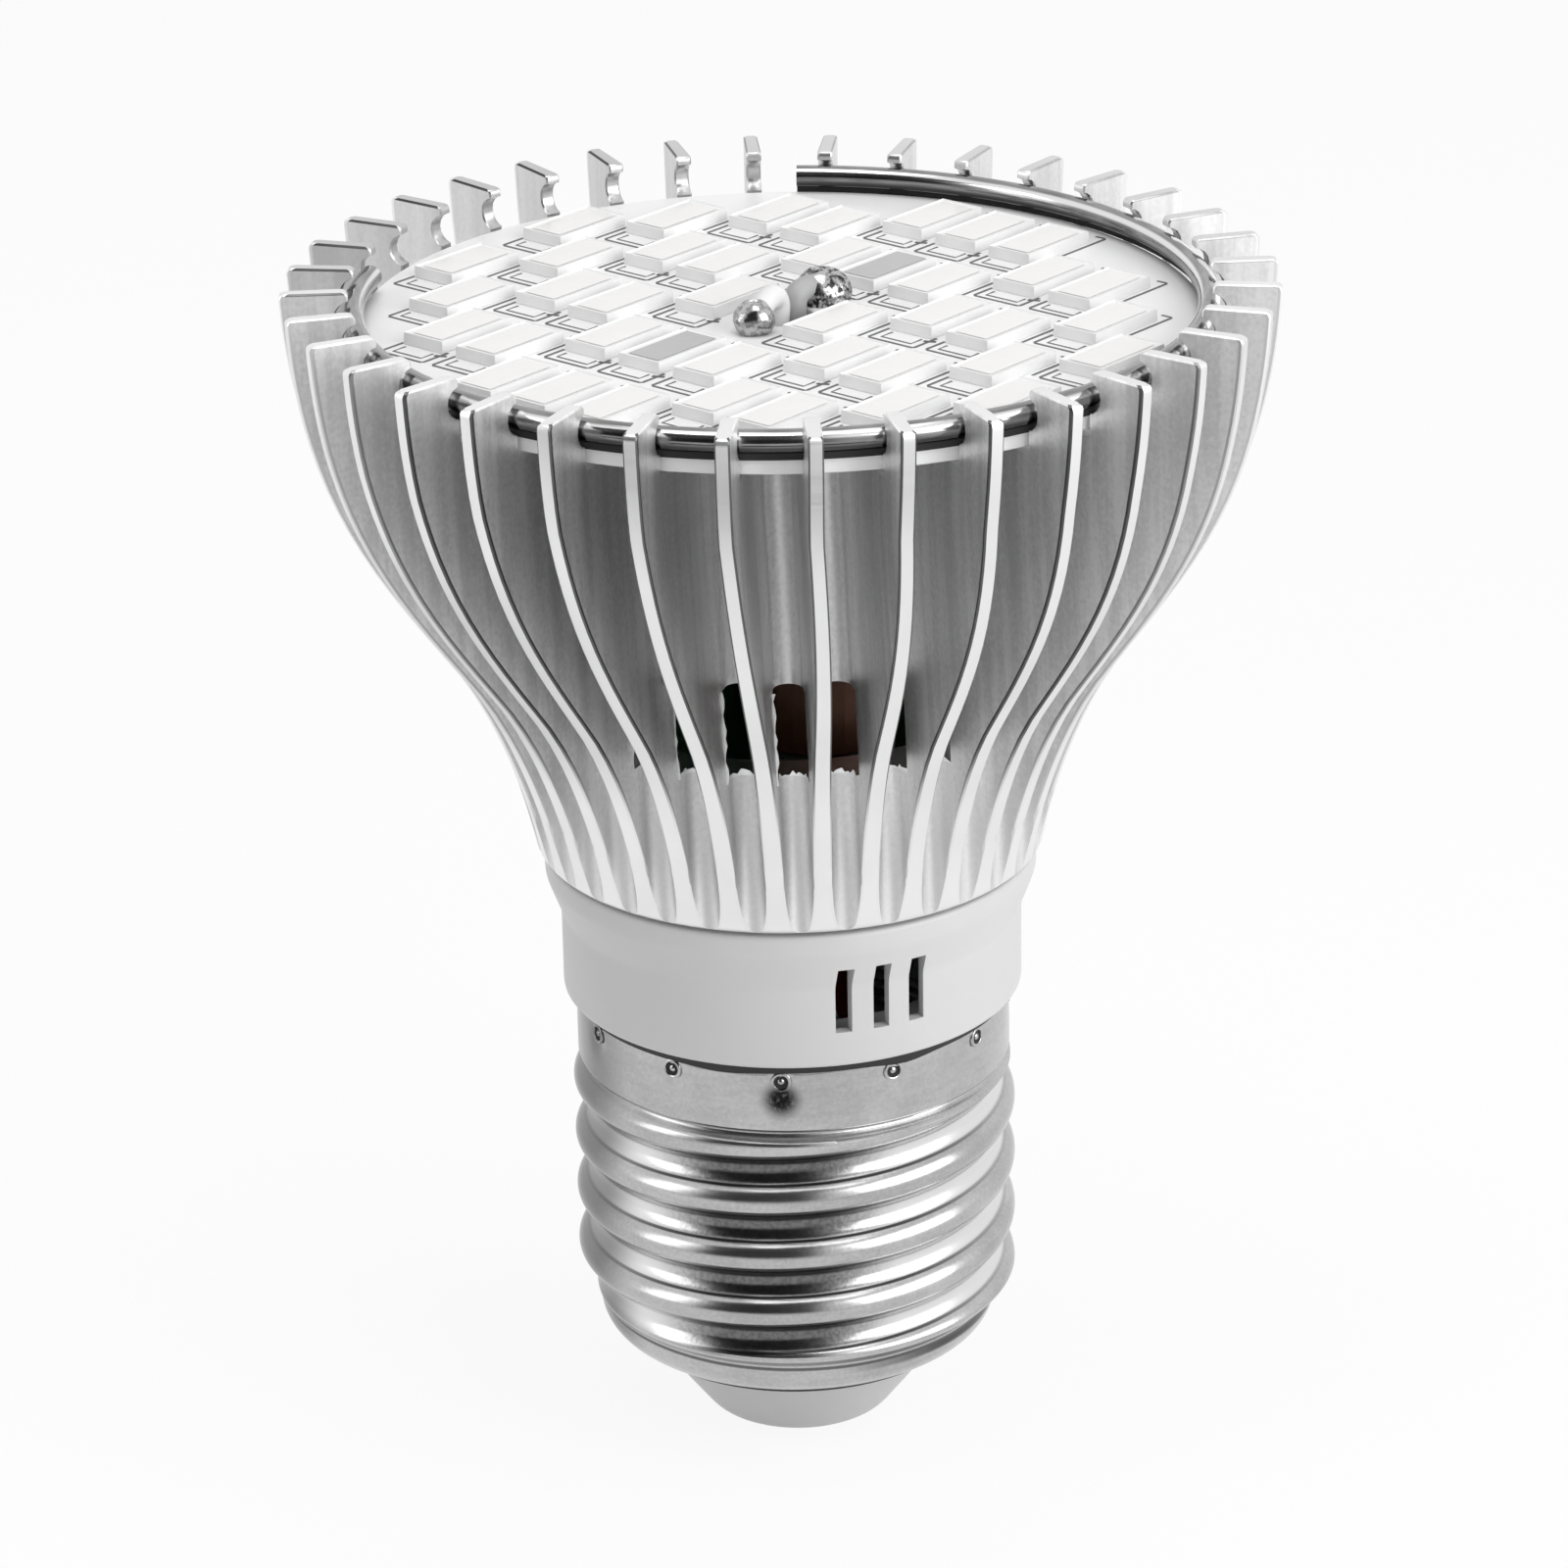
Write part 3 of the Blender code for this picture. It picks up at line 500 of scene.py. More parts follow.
def grow(name, sizes, build, finish, part=None, source=None, marked=()):
    """Build a piece with a geometry tree that has named inputs, and keep only its plain mesh.

    The function build gives the shape, part is the object that it repeats, and marked gives
    finishes to faces by their number.
    """
    group = bpy.data.node_groups.new(name + "_pattern", "GeometryNodeTree")
    interface = group.interface
    interface.new_socket("Geometry", in_out="INPUT", socket_type="NodeSocketGeometry")
    for label, value in sizes.items():
        kind = "NodeSocketInt" if isinstance(value, int) else "NodeSocketFloat"
        interface.new_socket(label, in_out="INPUT", socket_type=kind).default_value = value
    interface.new_socket("Geometry", in_out="OUTPUT", socket_type="NodeSocketGeometry")

    tree = Tree(group)
    shape = build(tree, tree.add("NodeGroupInput"))
    painted = paint(tree, tree.add("GeometryNodeRealizeInstances", {}, [shape])[0], finish)
    for number, other in marked:
        mark = tree.add("GeometryNodeInputNamedAttribute", {"data_type": "INT"}, {"Name": "finish"})[0]
        settings = {"data_type": "INT", "operation": "EQUAL"}
        chosen = tree.add("FunctionNodeCompare", settings, {2: mark, 3: number})[0]
        painted = paint(tree, painted, other, Selection=chosen)
    tree.add("NodeGroupOutput", {}, [painted])

    target = placed(name, source or bpy.data.meshes.new(name))
    modifier = target.modifiers.new("build", "NODES")
    modifier.node_group = group
    for item in interface.items_tree:
        if item.item_type == "SOCKET" and item.in_out == "INPUT" and item.name in sizes:
            modifier[item.identifier] = sizes[item.name]
    keep_result(target)
    if part:
        bpy.data.objects.remove(part)
    return target


def instances(tree, part, points, turn):
    """Copies of a part at points, turned about Z."""
    shape = tree.add("GeometryNodeObjectInfo", {}, {"Object": part})["Geometry"]
    inputs = {"Points": points, "Instance": shape, "Rotation": tree.vector(0.0, 0.0, turn)}
    return tree.add("GeometryNodeInstanceOnPoints", {}, inputs)[0]


def about_axis(tree, entry, part):
    """Copies of a part turned evenly about the bulb's axis."""
    count = entry["Count"]
    points = tree.add("GeometryNodeMeshLine", {}, {"Count": count, "Offset": (0.0, 0.0, 0.0)})[0]
    index = tree.add("GeometryNodeInputIndex")[0]
    return instances(tree, part, points, entry["Phase"] + index * TURN / count)


def repeated(name, part, count, phase, finish):
    """One piece of copies of a part, turned evenly about the axis."""
    sizes = {"Count": count, "Phase": phase}
    return grow(name, sizes, lambda tree, entry: about_axis(tree, entry, part), finish, part)


def copies_at_points(name, places, part, finish):
    """One piece of copies of a part at several points, all turned as the LEDs are."""
    points = bpy.data.meshes.new(name)
    points.from_pydata(places, [], [])

    def spread(tree, entry):
        return instances(tree, part, entry["Geometry"], entry["Turn"])

    return grow(name, {"Turn": LED_ANGLE}, spread, finish, part, points)


def bezier(controls, t):
    """Flat point on a cubic curve."""
    weights = ((1 - t) ** 3, 3 * t * (1 - t) ** 2, 3 * t * t * (1 - t), t ** 3)
    return tuple(sum(w * c[axis] for w, c in zip(weights, controls)) for axis in (0, 1))


def bell_curve(foot_z, top_z):
    """Turned outline of the heatsink as (radius, z) points from the rim down to the foot."""
    waist = (WAIST_RADIUS, top_z - WAIST_DROP)
    height = waist[1] - foot_z
    over, under = WAIST_HANDLES
    upper = ((RIM_RADIUS, top_z), (RIM_RADIUS - RIM_HANDLE[0], top_z - RIM_HANDLE[1] * WAIST_DROP),
             tuple(Vector(waist) + WAIST_SLOPE * over * WAIST_DROP), waist)
    lower = (waist, tuple(Vector(waist) - WAIST_SLOPE * under * height),
             (FOOT_RADIUS + FOOT_HANDLE[0] * height, foot_z + FOOT_HANDLE[1] * height), (FOOT_RADIUS, foot_z))
    shares = spaced(0.0, 1.0, CURVE_STEPS)
    return [bezier(upper, t) for t in shares] + [bezier(lower, t) for t in shares[1:]]


def read_curve(points, z):
    """Radius of an outline at a level."""
    for (radius, level), (next_radius, next_level) in zip(points, points[1:]):
        if next_level <= z <= level:
            part = (level - z) / (level - next_level)
            return radius + (next_radius - radius) * part
    return points[-1][0] if z < points[-1][1] else points[0][0]


class FinSector:
    """Ten degrees of the heatsink: one fin with half a channel on each side."""

    floor_steps = 7

    def __init__(self):
        low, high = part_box("heatsink")
        self.foot, self.top = low.z, high.z
        self.outline = bell_curve(self.foot, self.top)
        self.half = math.pi / FIN_COUNT
        centre = (FLOOR_RADIUS - FIN_ROOT_HALF) / (1.0 - math.sin(self.half))
        turned = arc((centre, 0.0), centre - FLOOR_RADIUS, math.pi, 1.5 * math.pi - self.half, 40)
        back = Matrix.Rotation(self.half, 2)
        self.floor = [back @ Vector(point) for point in turned][::-1]

    def radius(self, z):
        """Outside radius at a level, rounded over at the rim and the foot."""
        over = rounding(RIM_ROUND, z - (self.top - RIM_ROUND))
        under = rounding(FOOT_ROUND, self.foot + FOOT_ROUND - z)
        return read_curve(self.outline, z) - over - FOOT_ROUND_SHARE * under

    def half_thickness(self, radius, z):
        """Half of the fin's thickness, which tapers outwards and has a chamfer at the top."""
        part = (radius - FLOOR_RADIUS) / (RIM_RADIUS - FLOOR_RADIUS)
        plain = FIN_ROOT_HALF + (FIN_TIP_HALF - FIN_ROOT_HALF) * part
        return plain - max(0.0, z - (self.top - FIN_CHAMFER))

    def floor_from(self, radius, steps):
        """Points along the channel's floor from a radius to the middle of the channel."""
        start = next(i for i, point in enumerate(self.floor) if point.length <= radius)
        first = self.floor[start]
        if start:
            before = self.floor[start - 1]
            part = (before.length - radius) / (before.length - first.length)
            first = before.lerp(first, part)
        rest = len(self.floor) - 1 - start
        return [first] + [self.floor[start + round(rest * step / steps)] for step in range(1, steps + 1)]

    def section(self, z):
        """Half outline at a level, from the fin's outer edge to the middle of the channel."""
        radius = self.radius(z)
        above = radius > FLOOR_RADIUS
        edge = self.half_thickness(radius, z)
        tangent = self.floor[0]
        if radius > tangent.length + 3 * FIN_CHAMFER:
            corner = math.sqrt(radius ** 2 - edge ** 2)
            outer = [Vector((radius, 0.0)), Vector((corner, edge - FIN_CHAMFER)),
                     Vector((corner - FIN_CHAMFER, edge))]
            run = outer[OUTER_EDGE].x - tangent.x
            seat_share = (RECESS_RADIUS - tangent.x) / (self.radius(SEAT_Z) - FIN_CHAMFER - tangent.x)
            line_stop = min(EDGE_LINE / run, 0.8 * (1 - seat_share))
            window_stop = min(max((outer[OUTER_EDGE].x - WINDOW_RADIUS) / run, 1.02 - seat_share), 0.98)
            side = [outer[OUTER_EDGE].lerp(tangent, stop)
                    for stop in (line_stop, 1 - seat_share, window_stop, 1.0)]
        else:
            corner = self.floor_from(max(radius, FLOOR_RADIUS * 1.00001), 1)[0] if above else self.floor[-1]
            turn = math.atan2(corner.y, corner.x)
            back = BLUNT_EDGE / radius if above else 0.0
            outer = [Vector(polar_point(radius, angle)) for angle in (0.0, turn - 2 * back, turn - back / 2)]
            side = [corner if above else Vector(polar_point(radius, turn))] * 4
        if above:
            return [*outer, *side, *self.floor_from(side[-1].length, self.floor_steps)[1:]]
        return [*outer, *side] + [side[-1]] * self.floor_steps

    def full(self, half, z):
        """Mirror a half outline to a whole one, in space."""
        left = [(point.x, -point.y, z) for point in reversed(half[1:])]
        return left + [(point.x, point.y, z) for point in half]

    def bore(self, z):
        """Points of the bore at a level."""
        return [(*polar_point(BORE_RADIUS, turn), z) for turn in spaced(-self.half, self.half, 6)]

    def add_floor(self, bm, layer, half, between, z):
        """Flat face from the bore out to a half outline and its mirror image."""
        edge = [(point.x, -point.y, z) for point in reversed(half)] + between
        edge += [(point.x, point.y, z) for point in half]
        add_face(bm, edge + self.bore(z)[::-1], layer)


def inner_radius(z, top):
    """Inside of the fin's upper end: recess wall, groove for the ring and a rounded nose."""
    reach = math.sqrt(max(GROOVE_RADIUS ** 2 - (z - RING_LEVEL) ** 2, 0.0))
    return max(RECESS_RADIUS, RING_RADIUS + reach) + rounding(NOSE_ROUND, z - (top - NOSE_ROUND))


def tab_levels(top):
    """Levels of the fin's upper end, close together in the groove and at the rim."""
    mouth = math.sqrt(GROOVE_RADIUS ** 2 - (RECESS_RADIUS - RING_RADIUS) ** 2)
    levels = [SEAT_Z, SEAT_Z + 0.7 * MM, top - FIN_CHAMFER]
    levels += [RING_LEVEL - mouth * math.cos(turn) for turn in spaced(0.0, math.pi, 8)]
    levels += [top - NOSE_ROUND * (1 - math.sin(turn)) for turn in spaced(0.0, math.pi / 2, 4)]
    levels = sorted(set(round(level, 9) for level in levels))
    return [level for level, after in zip(levels, levels[1:]) if after - level > 2e-6] + [top]


def strip_finish(middle):
    """Finishes of a section's strips, given the number of the point halfway along its outer edge; the strips beside
    the turned edge take the painted shade.
    """
    # strips that take the painted shade lines
    lines = (middle - 3, middle - 2, middle + 1, middle + 2)

    def finish(column):
        if column in (middle - 1, middle) or column >= 2 * middle:
            return TURNED
        return SHADE if column in lines else EXTRUDED

    return finish


def add_face(bm, points, layer):
    """One flat turned face; points that coincide are left out."""
    kept = []
    for point in points:
        if not kept or (Vector(point) - Vector(kept[-1])).length > 2e-7:
            kept.append(point)
    if (Vector(kept[0]) - Vector(kept[-1])).length <= 2e-7:
        kept.pop()
    face = bm.faces.new([bm.verts.new(point) for point in kept])
    face[layer] = TURNED


def heatsink_sector():
    """Closed skin of one sector, open only towards its neighbours."""
    fin = FinSector()
    bm = bmesh.new()
    layer = bm.faces.layers.int.new("finish")

    low_levels = [fin.foot + FOOT_ROUND * (1 - math.cos(turn)) for turn in spaced(0.0, math.pi / 2, 6)]
    low_levels += spaced(low_levels[-1], WINDOW_LOW, 18)[1:]
    for levels in (low_levels, spaced(WINDOW_HIGH, SEAT_Z, 12)):
        halves = [fin.section(z) for z in levels]
        rows = [fin.full(half, z) for half, z in zip(halves, levels)]
        skin(bm, rows, tag=strip_finish(len(halves[0]) - 1), layer=layer)
        skin(bm, [fin.bore(levels[0]), fin.bore(levels[-1])])

    window_turn = math.atan2(*reversed(fin.section(WINDOW_LOW)[WINDOW_POINT]))
    back = [polar_point(WINDOW_RADIUS, turn) for turn in spaced(-window_turn, window_turn, 4)[::-1]][1:-1]
    rows = []
    for z in spaced(WINDOW_LOW, WINDOW_HIGH, 4):
        rows.append(fin.full(fin.section(z)[:WINDOW_POINT + 1], z) + [(x, y, z) for x, y in back])
    skin(bm, rows, closed=True, tag=strip_finish(WINDOW_POINT), layer=layer)
    for z in (WINDOW_LOW, WINDOW_HIGH):
        fin.add_floor(bm, layer, fin.section(z)[WINDOW_POINT:], [(x, y, z) for x, y in reversed(back)], z)
    fin.add_floor(bm, layer, fin.section(low_levels[0]), [], low_levels[0])

    rows = []
    for z in tab_levels(fin.top):
        inner = inner_radius(z, fin.top)
        half = fin.section(z)[:SEAT_POINT + 1]
        edge = fin.half_thickness(inner, z)
        outer = half[OUTER_EDGE]
        seat = Vector((inner + FIN_CHAMFER, edge)) if z > SEAT_Z else half[SEAT_POINT]
        half[SEAT_POINT - 1:] = [outer.lerp(seat, EDGE_LINE / (seat - outer).length), seat]
        nose = [(inner, y, z) for y in (edge - FIN_CHAMFER, 0.0, FIN_CHAMFER - edge)]
        rows.append(fin.full(half, z) + nose)
    skin(bm, rows, closed=True, tag=strip_finish(SEAT_POINT), layer=layer)
    add_face(bm, rows[-1], layer)
    nose = rows[0][2 * SEAT_POINT + 1:]
    fin.add_floor(bm, layer, fin.section(SEAT_Z)[SEAT_POINT:], nose[::-1], SEAT_Z)

    merge(bm, 2e-7)
    bmesh.ops.dissolve_degenerate(bm, edges=bm.edges, dist=1e-7)
    mesh = bpy.data.meshes.new("fin_sector")
    bm.to_mesh(mesh)
    bm.free()
    return placed("fin_sector", mesh)


def make_heatsink(extruded, turned, line):
    """Whole heatsink: the sector repeated round the axis and merged."""
    part = heatsink_sector()

    def merged(tree, entry):
        whole = tree.add("GeometryNodeRealizeInstances", {}, [about_axis(tree, entry, part)])[0]
        return tree.add("GeometryNodeMergeByDistance", {}, {"Geometry": whole, "Distance": entry["Merge"]})[0]

    sizes = {"Count": FIN_COUNT, "Phase": FIN_PHASE, "Merge": 1e-6}
    result = grow("finned_heatsink", sizes, merged, extruded, part, marked=((TURNED, turned), (SHADE, line)))
    twist(result)
    face_outward(result)
    return result


def twist(target):
    """Turn each level a little more than the one above, as the extruded bar is twisted."""
    for vert in target.data.vertices:
        share = (TWIST_FROM - vert.co.z) / (TWIST_FROM - TWIST_TO)
        if share > 0.0:
            vert.co.rotate(Matrix.Rotation(TWIST * share, 3, "Z"))


def ragged_edge(bm, roots, along, reach, chance):
    """Thin torn strip that stands out from its roots by uneven amounts."""
    out = Vector((1.0, 0.0, 0.0))
    rows = []
    for root in roots:
        tip = root + along * reach * chance.uniform(0.1, 1.0) + out * 0.04 * MM
        rows.append([root - out * 0.02 * MM, root + out * 0.05 * MM, tip + out * 0.03 * MM, tip])
    cap_ends(bm, skin(bm, rows, closed=True))


def make_burrs(finish):
    """Burrs that the lathe left along the lower and left edges of the windows, in three sets."""
    fin = FinSector()
    chance = random.Random(11)
    back = Matrix.Rotation(-fin.half, 2)
    half = [back @ point for point in fin.section(WINDOW_LOW)[WINDOW_POINT:]]
    flat = half + [Vector((point.x, -point.y)) for point in half[-2::-1]]
    floor = [Vector((point.x, point.y, WINDOW_LOW)) for point in flat]
    wall = [Vector((half[0].x, half[0].y, z)) for z in spaced(WINDOW_LOW, WINDOW_HIGH, 12)]
    results = []
    for group in range(3):
        bm = bmesh.new()
        ragged_edge(bm, floor, UP, BURR_REACH, chance)
        ragged_edge(bm, wall, Vector((0.0, 1.0, 0.0)), SIDE_BURR_REACH, chance)
        name = f"window_burrs_{group + 1}"
        part = mesh_object(name + "_part", bm)
        results.append(repeated(name, part, FIN_COUNT // 3, FIN_PHASE + (2 * group + 1) * fin.half, finish))
        twist(results[-1])
    return results


def make_ring(finish):
    """Open wire ring with cut ends."""
    level = sum(corner.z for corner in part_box("retaining_ring")) / 2
    sizes = {"Radius": RING_RADIUS, "Wire": RING_WIRE, "Start": RING_FROM + RING_SWEEP, "Sweep": -RING_SWEEP,
             "Level": level}

    def swept(tree, entry):
        sweep = {"Resolution": 220, "Radius": entry["Radius"], "Start Angle": entry["Start"],
                 "Sweep Angle": entry["Sweep"]}
        path = tree.add("GeometryNodeCurveArc", {}, sweep)[0]
        wire = tree.add("GeometryNodeCurvePrimitiveCircle", {}, {"Resolution": 20, "Radius": entry["Wire"]})[0]
        solid = tree.add("GeometryNodeCurveToMesh", {}, {"Curve": path, "Profile Curve": wire, "Fill Caps": True})[0]
        move = tree.vector(0.0, 0.0, entry["Level"])
        return tree.add("GeometryNodeTransform", {}, {"Geometry": solid, "Translation": move})[0]

    result = grow("spring_ring", sizes, swept, finish)
    face_outward(result)
    return result


def board_top():
    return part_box("led_board")[1].z


def make_board(finish):
    """Round board with broken edges and a hole for the leads."""
    low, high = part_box("led_board")
    outer = high.x - BOARD_INSET
    profile = [(BOARD_HOLE, low.z), (outer - BOARD_EDGE, low.z), (outer, low.z + BOARD_EDGE),
               (outer, high.z - BOARD_EDGE), (outer - BOARD_EDGE, high.z), (BOARD_HOLE + BOARD_EDGE, high.z),
               (BOARD_HOLE, high.z - BOARD_EDGE)]
    return mesh_object("light_board", revolve(profile, 160), [finish])


def led_places():
    """Centres of the LEDs as (column, row); the middle place is left to the leads."""
    places = []
    for column in range(1 - len(COLUMN_REACH), len(COLUMN_REACH)):
        reach = COLUMN_REACH[abs(column)]
        places += [(column, row) for row in range(-reach, reach + 1, 2) if (column, row) != (0, 0)]
    return places


def on_board(along, across, z):
    """Point of the board's own directions, in space."""
    flat = Matrix.Rotation(LED_ANGLE, 2) @ Vector((along, across))
    return (flat.x, flat.y, z)


def led_points(chosen, z):
    return [on_board(row * ROW_PITCH, -column * COLUMN_PITCH, z) for column, row in chosen]


def led_body_part():
    """Moulded package: a block with drawn-in sides and a sunken window."""
    bm = bmesh.new()
    corners = ((-1, -1), (1, -1), (1, 1), (-1, 1))
    rows = [[(x * (LED_LENGTH / 2 - taper), y * (LED_WIDTH / 2 - taper), z) for x, y in corners]
            for taper, z in ((0.0, 0.0), (LED_TAPER, LED_HEIGHT))]
    foot, head = skin(bm, rows, closed=True)
    bm.faces.new(foot[::-1])
    top = bm.faces.new(head)
    bmesh.ops.inset_region(bm, faces=[top], thickness=LED_RIM)
    bmesh.ops.inset_region(bm, faces=[top], thickness=LED_SLOPE)
    bmesh.ops.translate(bm, verts=top.verts, vec=(0.0, 0.0, -LED_SINK))
    return mesh_object("led_body_part", bm, sharp=20.0)


def led_window_part():
    """Cast resin that fills the package's window, slightly crowned."""
    bm = bmesh.new()
    half_x, half_y = LED_LENGTH / 2 - RESIN_MARGIN, LED_WIDTH / 2 - RESIN_MARGIN
    skin(bm, [[(u * half_x, v * half_y, RESIN_LEVEL + RESIN_CROWN * (1 - u * u) * (1 - v * v))
               for v in spaced(-1.0, 1.0, 3)] for u in spaced(-1.0, 1.0, 4)])
    return mesh_object("led_window_part", bm, sharp=60.0)


def make_leds(package, resin, dim_resin):
    """All LEDs: their packages, their pale windows and the two greyer windows."""
    z = board_top() + LED_LIFT
    every = led_places()
    pale = [place for place in every if place not in DIM_LEDS]
    return [copies_at_points("led_packages", led_points(every, z), led_body_part(), package),
            copies_at_points("led_windows", led_points(pale, z), led_window_part(), resin),
            copies_at_points("led_grey_windows", led_points(DIM_LEDS, z), led_window_part(), dim_resin)]


def strip(bm, points, width=LINE_WIDTH, height=LINE_HEIGHT):
    """Flat raised line along points."""
    lefts, rights = [], []
    for index, point in enumerate(points):
        before = Vector(points[max(index - 1, 0)])
        after = Vector(points[min(index + 1, len(points) - 1)])
        along = (after - before).normalized()
        side = Vector((-along.y, along.x)) * width / 2
        lefts.append(Vector(point) + side)
        rights.append(Vector(point) - side)
    rows = [[(a.x, a.y, 0.0), (a.x, a.y, height), (b.x, b.y, height), (b.x, b.y, 0.0)]
            for a, b in zip(lefts, rights)]
    skin(bm, rows, closed=True)
    for end in (0, -1):
        bm.faces.new([bm.verts.new(point) for point in rows[end]])


def pad_line_part(chance):
    """Lines round an LED's two pads: a loop before its near end and a long hook beside its far end, and a short
    stroke of painted shade at the near end's corner.
    """
    bm = bmesh.new()
    end = -LED_LENGTH / 2
    half = LED_WIDTH / 2 + chance.uniform(0.08, 0.16) * MM
    reach = chance.uniform(1.55, 1.8) * MM
    outer, cut = end - reach, LINE_CORNER
    strip(bm, [(end + 0.15 * MM, half), (outer + cut, half), (outer, half - cut), (outer, cut - half),
               (outer + cut, -half), (end + 0.3 * MM, -half)])
    inner = half - chance.uniform(0.5, 0.7) * MM
    near, far = end - 0.3 * MM, outer + 0.5 * MM
    strip(bm, [(near, inner), (far, inner), (far, -inner), (near, -inner)], INNER_LINE_WIDTH)
    side = -LED_WIDTH / 2 - 0.32 * MM
    begin = chance.uniform(-0.9, 0.6) * MM
    stop = LED_LENGTH / 2 + chance.uniform(0.7, 1.1) * MM
    strip(bm, [(begin, side), (stop, side), (stop + cut, side + cut), (stop + cut, side + 0.75 * MM)])
    # painted shade: a short dark stroke at the near end's corner
    shade_tick = end - chance.uniform(0.25, 0.5) * MM
    strip(bm, [(shade_tick, -half + 0.3 * MM), (shade_tick + 0.1 * MM, -half), (shade_tick + 0.3 * MM, -half - 0.35 * MM)],
          TICK_WIDTH, TICK_HEIGHT)
    merge(bm)
    return mesh_object("pad_line_part", bm)


def make_board_marks(line):
    """Mask edges round the pads, with short strokes of painted shade, in three slightly different sets."""
    chance = random.Random(3)
    z = board_top()
    every = led_places()
    chance.shuffle(every)
    return [copies_at_points(f"mask_edges_{group + 1}", led_points(every[group::3], z), pad_line_part(chance), line)
            for group in range(3)]


def make_solder(finishes):
    """Two lumps of solder: a full ball, and a wider grainy one."""
    chance = random.Random(5)
    z = board_top()
    results = []
    for (name, (along, across), size, tall, start), finish in zip(SOLDER, finishes):
        bm = bmesh.new()
        centre = on_board(along * MM, across * MM, z)
        lumps = [(chance.uniform(0, TURN), chance.uniform(0, TURN), chance.uniform(0.01, 0.03)) for _ in range(5)]
        rows = []
        for turn in spaced(start, math.pi / 2, 16):
            row = []
            for step in range(32):
                angle = TURN * step / 32
                swell = 1.0 + sum(depth * math.sin(3 * angle + a) * math.cos(2 * turn + b) for a, b, depth in lumps)
                x, y = polar_point(size * MM * math.cos(turn) * swell, angle)
                rise = tall * MM * (math.sin(turn) * swell - math.sin(start))
                row.append((centre[0] + x, centre[1] + y, z + max(0.0, rise)))
            rows.append(row)
        verts = skin(bm, rows, closed=True)
        bm.faces.new(verts[0])
        merge(bm)
        results.append(mesh_object(name, bm, [finish], sharp=50.0))
    return results


def tube(name, route, radius, finish):
    """Round sleeve along a smooth route, with closed ends."""
    curve = bpy.data.curves.new(name, "CURVE")
    curve.dimensions = "3D"
    curve.bevel_depth = radius
    curve.bevel_resolution = 4
    curve.use_fill_caps = True
    spline = curve.splines.new("NURBS")
    spline.points.add(len(route) - 1)
    for point, place in zip(spline.points, route):
        point.co = (*place, 1.0)
    spline.use_endpoint_u = True
    spline.order_u = 4
    spline.resolution_u = 8
    holder = placed(name + "_route", curve)
    mesh = plain_mesh(holder)
    bpy.data.objects.remove(holder)
    mesh.name = name
    shade(mesh, 40.0)
    mesh.materials.append(finish.material)
    return placed(name, mesh)


def make_sleeves(finishes):
    """Two sleeves that come up through the hole and bend over to their solder."""
    top = board_top()
    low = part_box("led_lead_a")[0].z
    results = []
    for (name, points), finish in zip(SLEEVES, finishes):
        route = [on_board(points[0][0] * MM, 0.0, low)]
        route += [on_board(along * MM, across * MM, top + rise * MM) for along, across, rise in points]
        results.append(tube(name, route, SLEEVE_RADIUS, finish))
    return results


def cut_with(target, tool_bm):
    """Cut a tool out of an object."""
    tool = mesh_object(target.name + "_tool", tool_bm)
    modifier = target.modifiers.new("cut", "BOOLEAN")
    modifier.operation = "DIFFERENCE"
    modifier.solver = "EXACT"
    modifier.object = tool
    keep_result(target)
    bpy.data.objects.remove(tool)


def wedges(turns, outline, low, high):
    """Upright prisms of one outline at several angles."""
    bm = bmesh.new()
    for angle in turns:
        turn = Matrix.Rotation(angle, 2)
        flat = [turn @ Vector((x * MM, y * MM)) for x, y in outline]
        verts = skin(bm, [[(p.x, p.y, z) for p in flat] for z in (low, high)], closed=True)
        bm.faces.new(verts[0][::-1])
        bm.faces.new(verts[1])
    return bm


def slot_cuts():
    """Recess behind each group of slots, and its parallel slots, as one side core leaves them."""
    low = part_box("neck_housing")[0].z + SLOT_SILL
    high = low + SLOT_HEIGHT
    groups = (SLOT_MIDDLE, SLOT_MIDDLE + math.pi)
    (inner, outer), (left, right) = SLOT_RECESS, SLOT_RECESS_SIDES
    recess = [(inner, left), *arc((0.0, 0.0), outer, *SLOT_RECESS_TURNS, 8), (inner, right)]
    cuts = [wedges(groups, recess, low - SLOT_RECESS_MARGIN, high + SLOT_RECESS_MARGIN)]
    near, far = SLOT_DEPTH
    for side in (-SLOT_PITCH, 0.0, SLOT_PITCH):
        one, other = side - SLOT_HALF, side + SLOT_HALF
        cuts.append(wedges(groups, [(near, one), (far, one), (far, other), (near, other)], low, high))
    return cuts


def make_neck(finish):
    """Moulded neck with rounded edges, a bevel, a flange, spigots and slots."""
    low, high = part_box("neck_housing")
    profile = in_mm(NECK, low.z)
    profile += [(profile[-1][0], high.z), (profile[0][0], high.z)]
    neck = mesh_object("white_neck", revolve(rounded(profile, NECK_ROUND), 180), [finish])
    for tool in slot_cuts():
        cut_with(neck, tool)
    shade(neck.data, 35.0)
    return neck


